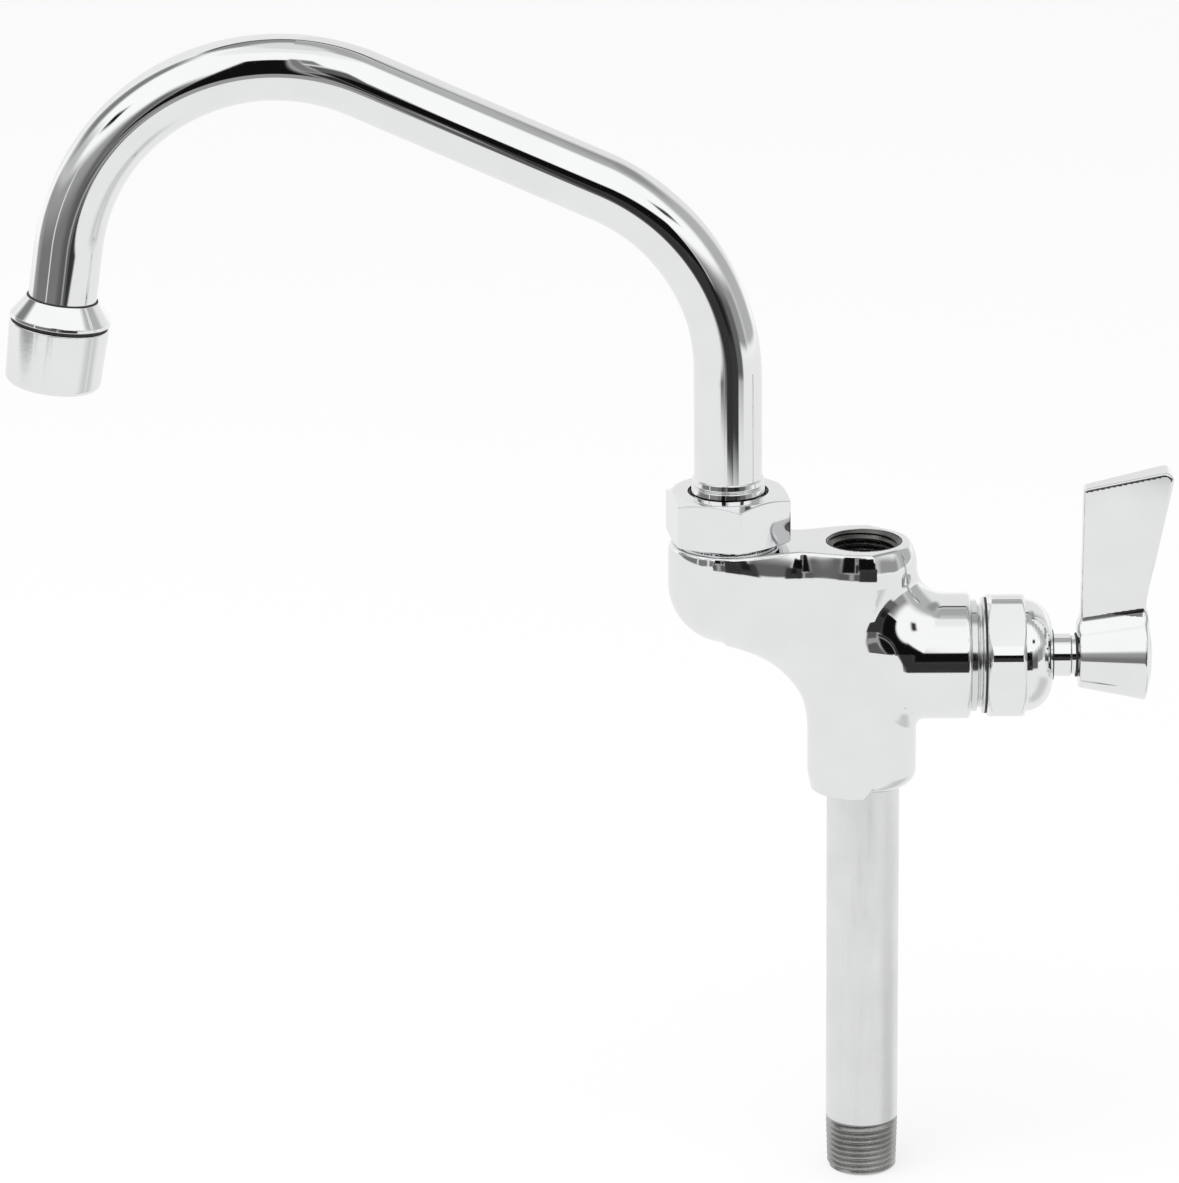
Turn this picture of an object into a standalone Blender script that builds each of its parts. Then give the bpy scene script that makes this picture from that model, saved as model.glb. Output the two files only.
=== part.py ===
"""Add-on faucet of a pre-rinse unit, for commercial kitchens: a cast body on a threaded nipple, with a riser port
on top, a swinging spout on the left and a lever valve on the right. Metres, +Z up, origin at the centre of the
nipple's lower end, +X towards the lever. Each sub-part is one object."""

import math

import bmesh
import bpy
from mathutils import Matrix, Vector

MM = 0.001
GAP = 0.3 * MM

# Inlet nipple: 3/8 pipe.
NIPPLE_RADIUS = 8.57 * MM
NIPPLE_BORE = 6.2 * MM
NIPPLE_LENGTH = 108.5 * MM
PIPE_PITCH = 25.4 / 18 * MM
PIPE_THREAD_DEPTH = 0.7 * MM
PIPE_THREAD_TURNS = 8
PIPE_TAPER = 1 / 32

# Cast body.
TOP_Z = 157.7 * MM
LIP_Z = 98.1 * MM
LIP_ROUND = 3.5 * MM
COLUMN_RADIUS = 12.45 * MM
SPOUT_X = -31.75 * MM
CHAMBER_RADIUS = 14.1 * MM
ARM_HALF_WIDTH = 10.5 * MM
KEEL_ROUND = 22 * MM
KEEL_SLOPE = math.radians(20.9)
VALVE_Z = 129.2 * MM
BOSS_RADIUS = 14.85 * MM
BOSS_END = 24.9 * MM
BOSS_ROUND_START = 10 * MM
CASTING_VOXEL = 1.15 * MM
CASTING_SMOOTHING = 9
CASTING_KEPT_FACES = 0.13
CASTING_ALLOWANCE = 6 * MM

# Water-ways and seats cut in the body.
SOCKET_RADIUS = NIPPLE_RADIUS + 0.15 * MM
SOCKET_DEPTH = 11.2 * MM
WATERWAY_RADIUS = 5.5 * MM
PORT_RADIUS = 7.35 * MM
PORT_DEPTH = 13 * MM
PORT_CHAMFER_RADIUS = 8.85 * MM
CHAMBER_END = -3 * MM
VALVE_CHAMBER_RADIUS = 9.5 * MM
BONNET_SHOULDER = 12.5 * MM
SEAT_POCKET_END = -9 * MM
SEAT_POCKET_RADIUS = 6.6 * MM
PASSAGE_RADIUS = 4.2 * MM

# Spout joint.
NECK_RADIUS = 11.4 * MM
NECK_TOP = 165 * MM
SPOUT_BORE = 9.6 * MM
SPOUT_BORE_FLOOR = 143 * MM
SLEEVE_RADIUS = 9.4 * MM
SLEEVE_SHOULDER = 156.5 * MM
SLEEVE_TOP = 166.6 * MM
SPOUT_ORING_HEIGHTS = (147.7 * MM, 152.5 * MM)
SPOUT_ORING_SECTION = 0.8 * MM
NUT_BOTTOM = 158.6 * MM
NUT_TOP = 170 * MM
NUT_FLATS = 26.8 * MM
NUT_TURN = math.radians(-19.5)
NUT_HOLE = 8.7 * MM
NUT_SHOULDER = 167.8 * MM

# Spout tube: leg, bend, slope, bend, nozzle.
TUBE_RADIUS = 7.94 * MM
TUBE_WALL = 1 * MM
LEG_TOP = TOP_Z + 40.6 * MM
BEND_RADIUS = 49.4 * MM
SLOPE = math.radians(24.2)
SLOPE_LENGTH = 58.9 * MM
NOZZLE_LEAN = math.radians(8.4)
NOZZLE_LENGTH = 12.1 * MM
BEND_STEP = math.radians(7.5)

# Aerator, measured down the nozzle from the top of the cone.
CONE_TOP_RADIUS = 8.6 * MM
CONE_RADIUS = 11.75 * MM
SEAM = 5.8 * MM
OUTLET = 21 * MM
OUTLET_RADIUS = 11.1 * MM

# Valve, measured along +X.
BONNET_START = 14.1 * MM
BONNET_THREAD_RADIUS = 12.5 * MM
HEX_START = 28.6 * MM
HEX_END = 37.7 * MM
HEX_FLATS = 27.9 * MM
HEX_CORNER_RISE = math.radians(17)
DOME_END = 44.3 * MM
DOME_RADIUS = 13.2 * MM
STEM_RADIUS = 5.05 * MM
STEM_BORE = 5.25 * MM
STEM_ORING_PLACES = (28 * MM, 33 * MM)
STEM_ORING_SECTION = 0.62 * MM
STEM_END = 60 * MM
HUB_START = 50.4 * MM
HUB_END = 66 * MM
HUB_SMALL_RADIUS = 7.7 * MM
HUB_BIG_RADIUS = 10.7 * MM
HUB_DOME = 1.7 * MM
BUTTON_RADIUS = 7 * MM

# Lever blade, an outline in the plane of the valve axis.
BLADE_INNER_X = 51.1 * MM
BLADE_INNER_TOP = 170 * MM
BLADE_OUTER_X = 72.1 * MM
BLADE_OUTER_TOP = 174.4 * MM
BLADE_THIN = 4.6 * MM
BLADE_THICK = 7.8 * MM

FINE = 48
MEDIUM = 32
COARSE = 20
ORING_SIDES = 6


# ---------------------------------------------------------------- scene helpers


def clear_scene():
    for thing in list(bpy.data.objects):
        bpy.data.objects.remove(thing, do_unlink=True)


def new_collection(name):
    collection = bpy.data.collections.new(name)
    bpy.context.scene.collection.children.link(collection)
    return collection


def make_material(name, color, roughness, metallic):
    material = bpy.data.materials.new(name)
    material.use_nodes = True
    shader = material.node_tree.nodes["Principled BSDF"]
    shader.inputs["Base Color"].default_value = (*color, 1)
    shader.inputs["Roughness"].default_value = roughness
    shader.inputs["Metallic"].default_value = metallic
    return material


def chrome(name):
    return make_material(name, (0.82, 0.83, 0.84), 0.06, 1)


def satin_chrome(name):
    return make_material(name, (0.78, 0.79, 0.8), 0.25, 1)


def brass(name):
    return make_material(name, (0.72, 0.55, 0.27), 0.3, 1)


def steel(name):
    return make_material(name, (0.62, 0.62, 0.61), 0.28, 1)


def rubber(name):
    return make_material(name, (0.02, 0.02, 0.02), 0.6, 0)


def nylon(name):
    return make_material(name, (0.85, 0.84, 0.78), 0.45, 0)


def add_object(name, mesh, collection, material=None):
    thing = bpy.data.objects.new(name, mesh)
    collection.objects.link(thing)
    if material:
        mesh.materials.append(material)
    return thing


def as_cutter(thing):
    thing.hide_render = True
    thing.display_type = "WIRE"
    return thing


def add_boolean(thing, other, operation="DIFFERENCE"):
    modifier = thing.modifiers.new(operation.title() + "_" + other.name, "BOOLEAN")
    modifier.object = other
    modifier.operation = operation
    modifier.solver = "EXACT"


def smooth_shading(mesh, angle=35):
    mesh.shade_smooth()
    mesh.set_sharp_from_angle(angle=math.radians(angle))


def point_along_x(thing, z=VALVE_Z):
    """Turns an object made along +Z so that it lies along +X, on the valve's axis."""
    thing.rotation_euler = (0, math.pi / 2, 0)
    thing.location = (0, 0, z)


# ---------------------------------------------------------------- shape helpers


def arc(center, radius, start, end, steps):
    """Points (r, h) of an arc from one angle to another, in degrees."""
    angles = [math.radians(start + (end - start) * i / steps) for i in range(steps + 1)]
    return [(center[0] + radius * math.cos(a), center[1] + radius * math.sin(a)) for a in angles]


def turned(name, profile, collection, material=None, steps=MEDIUM, ring=False):
    """A turned solid about +Z. The profile of (radius, height) runs down the outer side. A ring's closes on itself."""
    mesh = bpy.data.meshes.new(name)
    count = len(profile)
    edges = [(i, i + 1) for i in range(count - 1)]
    if ring:
        edges.append((count - 1, 0))
    mesh.from_pydata([(r, 0, h) for r, h in profile], edges, [])
    thing = add_object(name, mesh, collection, material)
    screw = thing.modifiers.new("Turn", "SCREW")
    screw.axis = "Z"
    screw.angle = 2 * math.pi
    screw.steps = steps
    screw.render_steps = steps
    screw.use_merge_vertices = True
    screw.merge_threshold = 0.00001
    screw.use_smooth_shade = True
    return thing


def ring_profile(outer, inner, bottom, top):
    return [(outer, top), (outer, bottom), (inner, bottom), (inner, top)]


def rod_profile(radius, bottom, top):
    return [(0, top), (radius, top), (radius, bottom), (0, bottom)]


def prism(name, radius, bottom, top, collection, material=None, sides=6, turn=0.0):
    mesh = bpy.data.meshes.new(name)
    shape = bmesh.new()
    place = Matrix.Translation((0, 0, (bottom + top) / 2)) @ Matrix.Rotation(turn, 4, "Z")
    bmesh.ops.create_cone(shape, cap_ends=True, segments=sides, radius1=radius, radius2=radius, depth=top - bottom,
                          matrix=place)
    shape.to_mesh(mesh)
    shape.free()
    return add_object(name, mesh, collection, material)


def box(name, low, high, collection, material=None):
    low = Vector(low)
    high = Vector(high)
    mesh = bpy.data.meshes.new(name)
    shape = bmesh.new()
    place = Matrix.Translation((low + high) / 2) @ Matrix.Diagonal((*(high - low), 1))
    bmesh.ops.create_cube(shape, size=1, matrix=place)
    shape.to_mesh(mesh)
    shape.free()
    return add_object(name, mesh, collection, material)


def tube_curve(name, points, radius, collection, material=None, caps=True, resolution=6):
    curve = bpy.data.curves.new(name, "CURVE")
    curve.dimensions = "3D"
    curve.bevel_depth = radius
    curve.bevel_resolution = resolution
    curve.use_fill_caps = caps
    spline = curve.splines.new("POLY")
    spline.points.add(len(points) - 1)
    for place, point in zip(spline.points, points):
        place.co = (*point, 1)
    return add_object(name, curve, collection, material)


def as_mesh(curve_object, collection):
    """Replaces a curve object by its mesh, with the caps welded on, so that it can be cut or be a cutter."""
    bpy.context.view_layer.update()
    graph = bpy.context.evaluated_depsgraph_get()
    mesh = bpy.data.meshes.new_from_object(curve_object.evaluated_get(graph))
    shape = bmesh.new()
    shape.from_mesh(mesh)
    bmesh.ops.remove_doubles(shape, verts=shape.verts, dist=0.00001)
    bmesh.ops.recalc_face_normals(shape, faces=shape.faces)
    shape.to_mesh(mesh)
    shape.free()
    name = curve_object.name
    place = curve_object.matrix_world.copy()
    bpy.data.objects.remove(curve_object, do_unlink=True)
    thing = add_object(name, mesh, collection)
    thing.matrix_world = place
    return thing


def hex_corner_radius(flats):
    return flats / math.sqrt(3)


def chamfer_lens(name, corner, chamfered, bottom, top, collection):
    """The turned solid that rounds a hexagon's corners at both ends, at 30 degrees."""
    drop = (corner - chamfered) * math.tan(math.radians(30))
    wide = corner + 0.1 * MM
    profile = [(0, top), (chamfered, top), (wide, top - drop), (wide, bottom + drop), (chamfered, bottom), (0, bottom)]
    return as_cutter(turned(name, profile, collection, steps=MEDIUM))


# ---------------------------------------------------------------- cast body


def column_form(collection):
    lip = arc((COLUMN_RADIUS - LIP_ROUND, LIP_Z + LIP_ROUND), LIP_ROUND, 0, -90, 6)
    top = TOP_Z + CASTING_ALLOWANCE
    profile = [(0, top), (COLUMN_RADIUS, top), *lip, (0, LIP_Z)]
    return turned("faucet_body", profile, collection, chrome("body_chrome"), steps=FINE)


def chamber_form(collection):
    bottom = TOP_Z - 10.2 * MM
    top = TOP_Z + CASTING_ALLOWANCE
    bowl = arc((0, bottom), CHAMBER_RADIUS, 0, -90, 12)
    form = turned("form_chamber", [(0, top), (CHAMBER_RADIUS, top), *bowl], collection, steps=FINE)
    form.location.x = SPOUT_X
    return as_cutter(form)


def keel_path():
    """The middle of the arm's round underside: up the column, round the keel's fillet, and out to the chamber."""
    reach = KEEL_ROUND + ARM_HALF_WIDTH
    center_x = -COLUMN_RADIUS - KEEL_ROUND
    center_z = TOP_Z - 47.8 * MM
    turn = math.pi / 2 - KEEL_SLOPE
    angles = [turn * i / 8 for i in range(9)]
    path = [(center_x + reach * math.cos(a), 0, center_z + reach * math.sin(a)) for a in angles]
    end_x = SPOUT_X - 1 * MM
    last = path[-1]
    path.append((end_x, 0, last[2] + (last[0] - end_x) * math.tan(KEEL_SLOPE)))
    return path


def casting_forms(collection):
    keel = as_mesh(tube_curve("form_keel", keel_path(), ARM_HALF_WIDTH, collection), collection)
    web = box("form_web", (SPOUT_X, -ARM_HALF_WIDTH, TOP_Z - 17 * MM),
              (0, ARM_HALF_WIDTH, TOP_Z + CASTING_ALLOWANCE), collection)
    outer = BOSS_END + CASTING_ALLOWANCE / 2
    round_end = arc((0, BOSS_ROUND_START), BOSS_RADIUS, 0, -90, 12)
    boss = turned("form_boss", [(0, outer), (BOSS_RADIUS, outer), *round_end], collection, steps=FINE)
    point_along_x(boss)
    return [chamber_form(collection), as_cutter(keel), as_cutter(web), as_cutter(boss)]


def machining_cutters(collection):
    far = 60 * MM
    top = box("cut_top", (-far, -far, TOP_Z), (far, far, TOP_Z + far), collection)
    face = box("cut_boss_face", (BOSS_END, -far, VALVE_Z - far / 2), (2 * far, far, VALVE_Z + far / 2), collection)
    socket = turned("cut_socket", rod_profile(SOCKET_RADIUS, LIP_Z - 2 * MM, LIP_Z + SOCKET_DEPTH), collection)
    column_bore = turned("cut_waterway", rod_profile(WATERWAY_RADIUS, LIP_Z + SOCKET_DEPTH - 1 * MM,
                                                     TOP_Z - PORT_DEPTH + 1 * MM), collection, steps=COARSE)
    chamfer_depth = PORT_CHAMFER_RADIUS - PORT_RADIUS
    port = turned("cut_port", [(0, TOP_Z + 1 * MM), (PORT_CHAMFER_RADIUS, TOP_Z + 1 * MM),
                               (PORT_CHAMFER_RADIUS, TOP_Z), (PORT_RADIUS, TOP_Z - chamfer_depth),
                               (PORT_RADIUS, TOP_Z - PORT_DEPTH), (0, TOP_Z - PORT_DEPTH)], collection)
    valve = turned("cut_valve", [(0, BOSS_END + 5 * MM), (BONNET_THREAD_RADIUS + 0.15 * MM, BOSS_END + 5 * MM),
                                 (BONNET_THREAD_RADIUS + 0.15 * MM, BONNET_SHOULDER),
                                 (VALVE_CHAMBER_RADIUS, BONNET_SHOULDER), (VALVE_CHAMBER_RADIUS, CHAMBER_END),
                                 (SEAT_POCKET_RADIUS, CHAMBER_END), (SEAT_POCKET_RADIUS, SEAT_POCKET_END),
                                 (0, SEAT_POCKET_END)], collection)
    point_along_x(valve)
    spout = turned("cut_spout_bore", rod_profile(SPOUT_BORE, SPOUT_BORE_FLOOR, NECK_TOP + 2 * MM), collection)
    spout.location.x = SPOUT_X
    start = Vector((SEAT_POCKET_END + 2 * MM, 0, VALVE_Z - 0.6 * MM))
    end = Vector((SPOUT_X + 3 * MM, 0, SPOUT_BORE_FLOOR + 0.6 * MM))
    passage = as_mesh(tube_curve("cut_passage", [start, end], PASSAGE_RADIUS, collection, resolution=4), collection)
    return [as_cutter(c) for c in (top, face)], [as_cutter(c) for c in (socket, column_bore, port, valve, spout, passage)]


def faucet_body(parts, cutters):
    body = column_form(parts)
    for form in casting_forms(cutters):
        add_boolean(body, form, "UNION")
    remesh = body.modifiers.new("Cast", "REMESH")
    remesh.mode = "VOXEL"
    remesh.voxel_size = CASTING_VOXEL
    remesh.use_smooth_shade = True
    smooth = body.modifiers.new("Fillets", "SMOOTH")
    smooth.factor = 0.5
    smooth.iterations = CASTING_SMOOTHING
    decimate = body.modifiers.new("Fewer_faces", "DECIMATE")
    decimate.ratio = CASTING_KEPT_FACES
    flats, bores = machining_cutters(cutters)
    for cutter in flats:
        add_boolean(body, cutter)
    neck = turned("form_neck", rod_profile(NECK_RADIUS, TOP_Z - 3 * MM, NECK_TOP), cutters, steps=MEDIUM)
    neck.location.x = SPOUT_X
    add_boolean(body, as_cutter(neck), "UNION")
    for cutter in bores:
        add_boolean(body, cutter)
    return body


def inlet_nipple(parts):
    """A length of pipe with a male pipe thread at its lower end, drawn as rings that taper towards the end."""
    def crest(height):
        thread_height = PIPE_PITCH * PIPE_THREAD_TURNS
        return NIPPLE_RADIUS - max(0, thread_height - height) * PIPE_TAPER

    thread = []
    for turn in range(PIPE_THREAD_TURNS, 0, -1):
        height = turn * PIPE_PITCH
        thread.append((crest(height), height))
        thread.append((crest(height) - PIPE_THREAD_DEPTH, height - PIPE_PITCH / 2))
    profile = [(NIPPLE_RADIUS, NIPPLE_LENGTH), (NIPPLE_RADIUS, thread[0][1] + PIPE_PITCH), *thread,
               (crest(0) - PIPE_THREAD_DEPTH, 0), (NIPPLE_BORE, 0), (NIPPLE_BORE, NIPPLE_LENGTH)]
    return turned("inlet_nipple", profile, parts, satin_chrome("nipple_satin"), steps=MEDIUM, ring=True)


# ---------------------------------------------------------------- valve


def valve_seat(parts):
    profile = [(5.4 * MM, -3 * MM), (5.4 * MM, -3.4 * MM), (6.4 * MM, -3.4 * MM), (6.4 * MM, -8.7 * MM),
               (3.7 * MM, -8.7 * MM), (3.7 * MM, -3 * MM)]
    seat = turned("valve_seat", profile, parts, brass("seat_brass"), steps=COARSE, ring=True)
    point_along_x(seat)
    return seat


def seat_washer(parts):
    washer = turned("seat_washer", ring_profile(6.2 * MM, 2 * MM, -2.7 * MM, 0.2 * MM), parts,
                    rubber("washer_rubber"), steps=COARSE, ring=True)
    point_along_x(washer)
    return washer


def washer_holder(parts):
    profile = [(3.2 * MM, 5.5 * MM), (3.2 * MM, 3 * MM), (7.4 * MM, 3 * MM), (7.4 * MM, -1.2 * MM),
               (6.5 * MM, -1.2 * MM), (6.5 * MM, 0.5 * MM), (1.9 * MM, 0.5 * MM), (1.9 * MM, 5.5 * MM)]
    holder = turned("washer_holder", profile, parts, brass("holder_brass"), steps=COARSE, ring=True)
    point_along_x(holder)
    return holder


def washer_screw(parts, cutters):
    profile = [(0, 4.8 * MM), (1.65 * MM, 4.8 * MM), (1.65 * MM, -3 * MM), (3.3 * MM, -3 * MM), (3.3 * MM, -4.3 * MM),
               (0, -4.3 * MM)]
    screw = turned("washer_screw", profile, parts, steel("washer_screw_steel"), steps=COARSE)
    slot = as_cutter(box("cut_washer_screw_slot", (-0.45 * MM, -4 * MM, -5 * MM), (0.45 * MM, 4 * MM, -3.6 * MM),
                         cutters))
    point_along_x(slot)
    add_boolean(screw, slot)
    point_along_x(screw)
    return screw


def valve_stem(parts):
    grooves = []
    for place in reversed(STEM_ORING_PLACES):
        half = STEM_ORING_SECTION + 0.3 * MM
        floor = STEM_RADIUS - 1.15 * MM
        grooves += [(STEM_RADIUS, place + half), (floor, place + half), (floor, place - half),
                    (STEM_RADIUS, place - half)]
    profile = [(4.2 * MM, STEM_END), (4.2 * MM, HUB_START - GAP), (4.6 * MM, HUB_START - GAP),
               (4.6 * MM, 48.5 * MM), (STEM_RADIUS, 48.5 * MM), *grooves, (STEM_RADIUS, 19 * MM),
               (8.5 * MM, 19 * MM), (8.5 * MM, 9 * MM), (5.5 * MM, 9 * MM), (5.5 * MM, 3.4 * MM),
               (3.5 * MM, 3.4 * MM), (3.5 * MM, 6.2 * MM), (0, 6.2 * MM)]
    top = [(0, 52 * MM), (1.65 * MM, 52 * MM), (1.65 * MM, STEM_END)]
    stem = turned("valve_stem", top + profile, parts, chrome("stem_chrome"), steps=COARSE)
    point_along_x(stem)
    return stem


def stem_orings(parts):
    rings = []
    for name, place in zip(("stem_oring_inner", "stem_oring_outer"), STEM_ORING_PLACES):
        center = STEM_RADIUS - 0.5 * MM
        profile = arc((center, place), STEM_ORING_SECTION, 90, -270, ORING_SIDES)[:-1]
        ring = turned(name, profile, parts, rubber(name + "_rubber"), steps=COARSE, ring=True)
        point_along_x(ring)
        rings.append(ring)
    return rings


def bonnet_gasket(parts):
    profile = ring_profile(12.4 * MM, 9.7 * MM, BONNET_SHOULDER + GAP, BONNET_START - GAP)
    gasket = turned("bonnet_gasket", profile, parts, make_material("gasket_fibre", (0.45, 0.2, 0.12), 0.8, 0),
                    steps=MEDIUM, ring=True)
    point_along_x(gasket)
    return gasket


def bonnet(parts, cutters):
    """Threaded shank, hexagon and dome in one piece."""
    shank = turned("bonnet", rod_profile(BONNET_THREAD_RADIUS, BONNET_START, HEX_START + 1 * MM), parts,
                   chrome("bonnet_chrome"), steps=MEDIUM)
    corner = hex_corner_radius(HEX_FLATS)
    hexagon = prism("form_bonnet_hex", corner, HEX_START, HEX_END, cutters, turn=-HEX_CORNER_RISE)
    add_boolean(hexagon, chamfer_lens("cut_bonnet_chamfer", corner, HEX_FLATS / 2 - 0.1 * MM, HEX_START, HEX_END,
                                      cutters), "INTERSECT")
    across = DOME_RADIUS - 7 * MM
    depth = DOME_END - HEX_END
    steps = 6
    turns = [math.pi / 2 * i / steps for i in range(steps + 1)]
    curve = [(across + 7 * MM * math.sin(t), HEX_END + depth * math.cos(t)) for t in turns]
    dome = turned("form_dome", [(0, DOME_END), *curve, (DOME_RADIUS, HEX_END - 1 * MM), (0, HEX_END - 1 * MM)], cutters,
                  steps=MEDIUM)
    bore = turned("cut_bonnet_bore", [(0, DOME_END + 2 * MM), (STEM_BORE, DOME_END + 2 * MM), (STEM_BORE, 23 * MM),
                                      (8.9 * MM, 23 * MM), (8.9 * MM, BONNET_START - 1 * MM),
                                      (0, BONNET_START - 1 * MM)], cutters, steps=MEDIUM)
    for form in (hexagon, dome):
        add_boolean(shank, as_cutter(form), "UNION")
    add_boolean(shank, as_cutter(bore))
    for thing in (shank, hexagon, dome, bore, bpy.data.objects["cut_bonnet_chamfer"]):
        point_along_x(thing)
    return shank


# ---------------------------------------------------------------- lever


def blade_outline():
    """Corner points of the blade in the plane of X and Z. The outer edge is straight, then curves into the hub."""
    corner = [(BLADE_OUTER_X - 3.6 * MM, BLADE_OUTER_TOP - 0.5 * MM), (BLADE_OUTER_X - 1.4 * MM, BLADE_OUTER_TOP),
              (BLADE_OUTER_X - 0.2 * MM, BLADE_OUTER_TOP - 0.5 * MM), (BLADE_OUTER_X, BLADE_OUTER_TOP - 1.6 * MM)]
    straight_end = (67.8 * MM, VALVE_Z + 23 * MM)
    root = (65.6 * MM, VALVE_Z + 9 * MM)
    curve = []
    for step in range(1, 5):
        t = step / 5
        bow = (66 * MM, VALVE_Z + 16 * MM)
        curve.append(tuple((1 - t) ** 2 * a + 2 * t * (1 - t) * b + t * t * c
                           for a, b, c in zip(straight_end, bow, root)))
    return [(50.7 * MM, VALVE_Z + 6 * MM), (BLADE_INNER_X, BLADE_INNER_TOP - 0.8 * MM),
            (BLADE_INNER_X + 0.6 * MM, BLADE_INNER_TOP), *corner, straight_end, *curve, root,
            (64 * MM, VALVE_Z + 6 * MM)]


def blade_form(collection):
    curve = bpy.data.curves.new("form_blade", "CURVE")
    curve.dimensions = "2D"
    curve.fill_mode = "BOTH"
    curve.extrude = BLADE_THICK
    spline = curve.splines.new("POLY")
    outline = blade_outline()
    spline.points.add(len(outline) - 1)
    for place, (x, z) in zip(spline.points, outline):
        place.co = (x, z, 0, 1)
    spline.use_cyclic_u = True
    blade = add_object("form_blade", curve, collection)
    blade.rotation_euler = (math.pi / 2, 0, 0)
    return as_mesh(blade, collection)


def blade_wedge(collection):
    """A box whose sides draw in towards the valve, which gives the blade its taper in thickness."""
    wedge = box("form_blade_wedge", (45 * MM, -1, VALVE_Z), (78 * MM, 1, VALVE_Z + 60 * MM), collection)
    slope = (BLADE_THICK - BLADE_THIN) / (BLADE_OUTER_X - BLADE_INNER_X)
    for vertex in wedge.data.vertices:
        thickness = BLADE_THIN + slope * (vertex.co.x - BLADE_INNER_X)
        vertex.co.y = math.copysign(thickness / 2, vertex.co.y)
    return wedge


def hub_profile():
    dome = []
    for radius in (HUB_BIG_RADIUS - 0.3 * MM, 9.6 * MM, 8.5 * MM, 7.25 * MM):
        dome.append((radius, HUB_END + HUB_DOME * (1 - (radius / HUB_BIG_RADIUS) ** 2)))
    recess = [(7.25 * MM, 62.3 * MM), (2 * MM, 62.3 * MM), (2 * MM, STEM_END + GAP), (4.4 * MM, STEM_END + GAP),
              (4.4 * MM, HUB_START)]
    return [*recess[::-1], *dome[::-1], (HUB_BIG_RADIUS, HUB_END - 0.4 * MM), (HUB_SMALL_RADIUS, HUB_START + 0.3 * MM),
            (HUB_SMALL_RADIUS - 0.3 * MM, HUB_START)]


def lever_handle(parts, cutters):
    hub = turned("lever_handle", hub_profile(), parts, chrome("lever_chrome"), steps=MEDIUM, ring=True)
    point_along_x(hub)
    blade = as_cutter(blade_form(cutters))
    add_boolean(blade, as_cutter(blade_wedge(cutters)), "INTERSECT")
    recess = turned("cut_hub_recess", rod_profile(7.25 * MM, HUB_START - 2 * MM, HUB_END + 5 * MM), cutters,
                    steps=MEDIUM)
    point_along_x(recess)
    add_boolean(blade, as_cutter(recess))
    add_boolean(hub, blade, "UNION")
    return hub


def handle_screw(parts, cutters):
    profile = [(0, 64.2 * MM), (3.2 * MM, 64.2 * MM), (3.6 * MM, 63.8 * MM), (3.6 * MM, 62.6 * MM), (1.5 * MM, 62.6 * MM),
               (1.5 * MM, 53 * MM), (0, 53 * MM)]
    screw = turned("handle_screw", profile, parts, steel("handle_screw_steel"), steps=COARSE)
    point_along_x(screw)
    for name, half_z, half_y in (("cut_cross_a", 2.2, 0.45), ("cut_cross_b", 0.45, 2.2)):
        slot = box(name, (63.3 * MM, -half_y * MM, VALVE_Z - half_z * MM), (66 * MM, half_y * MM, VALVE_Z + half_z * MM),
                   cutters)
        add_boolean(screw, as_cutter(slot))
    return screw


def index_button(parts):
    steps = 5
    dome = []
    for i in range(steps):
        radius = (BUTTON_RADIUS - 0.3 * MM) * i / (steps - 1)
        dome.append((radius, HUB_END + HUB_DOME * (1 - (radius / HUB_BIG_RADIUS) ** 2)))
    button = turned("index_button", [*dome, (BUTTON_RADIUS, HUB_END + 0.6 * MM), (BUTTON_RADIUS, 64.6 * MM),
                                     (0, 64.6 * MM)], parts, chrome("button_chrome"), steps=MEDIUM)
    point_along_x(button)
    return button


# ---------------------------------------------------------------- spout


def spout_nut(parts, cutters):
    corner = hex_corner_radius(NUT_FLATS)
    nut = prism("spout_nut", corner, NUT_BOTTOM, NUT_TOP, parts, chrome("nut_chrome"), turn=NUT_TURN + math.pi / 2)
    lens = chamfer_lens("cut_nut_chamfer", corner, NUT_FLATS / 2 - 0.4 * MM, NUT_BOTTOM, NUT_TOP, cutters)
    add_boolean(nut, lens, "INTERSECT")
    bore = turned("cut_nut_bore", [(0, NUT_TOP + 1 * MM), (NUT_HOLE, NUT_TOP + 1 * MM), (NUT_HOLE, NUT_SHOULDER),
                                   (NECK_RADIUS + 0.2 * MM, NUT_SHOULDER), (NECK_RADIUS + 0.2 * MM, NUT_BOTTOM - 1 * MM),
                                   (0, NUT_BOTTOM - 1 * MM)], cutters, steps=MEDIUM)
    add_boolean(nut, as_cutter(bore))
    for thing in (nut, lens, bore):
        thing.location.x = SPOUT_X
    return nut


def spout_glide_washer(parts):
    profile = ring_profile(11.2 * MM, 8.4 * MM, SLEEVE_TOP + GAP, NUT_SHOULDER - GAP)
    washer = turned("spout_glide_washer", profile, parts, nylon("glide_nylon"), steps=MEDIUM, ring=True)
    washer.location.x = SPOUT_X
    return washer


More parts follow.
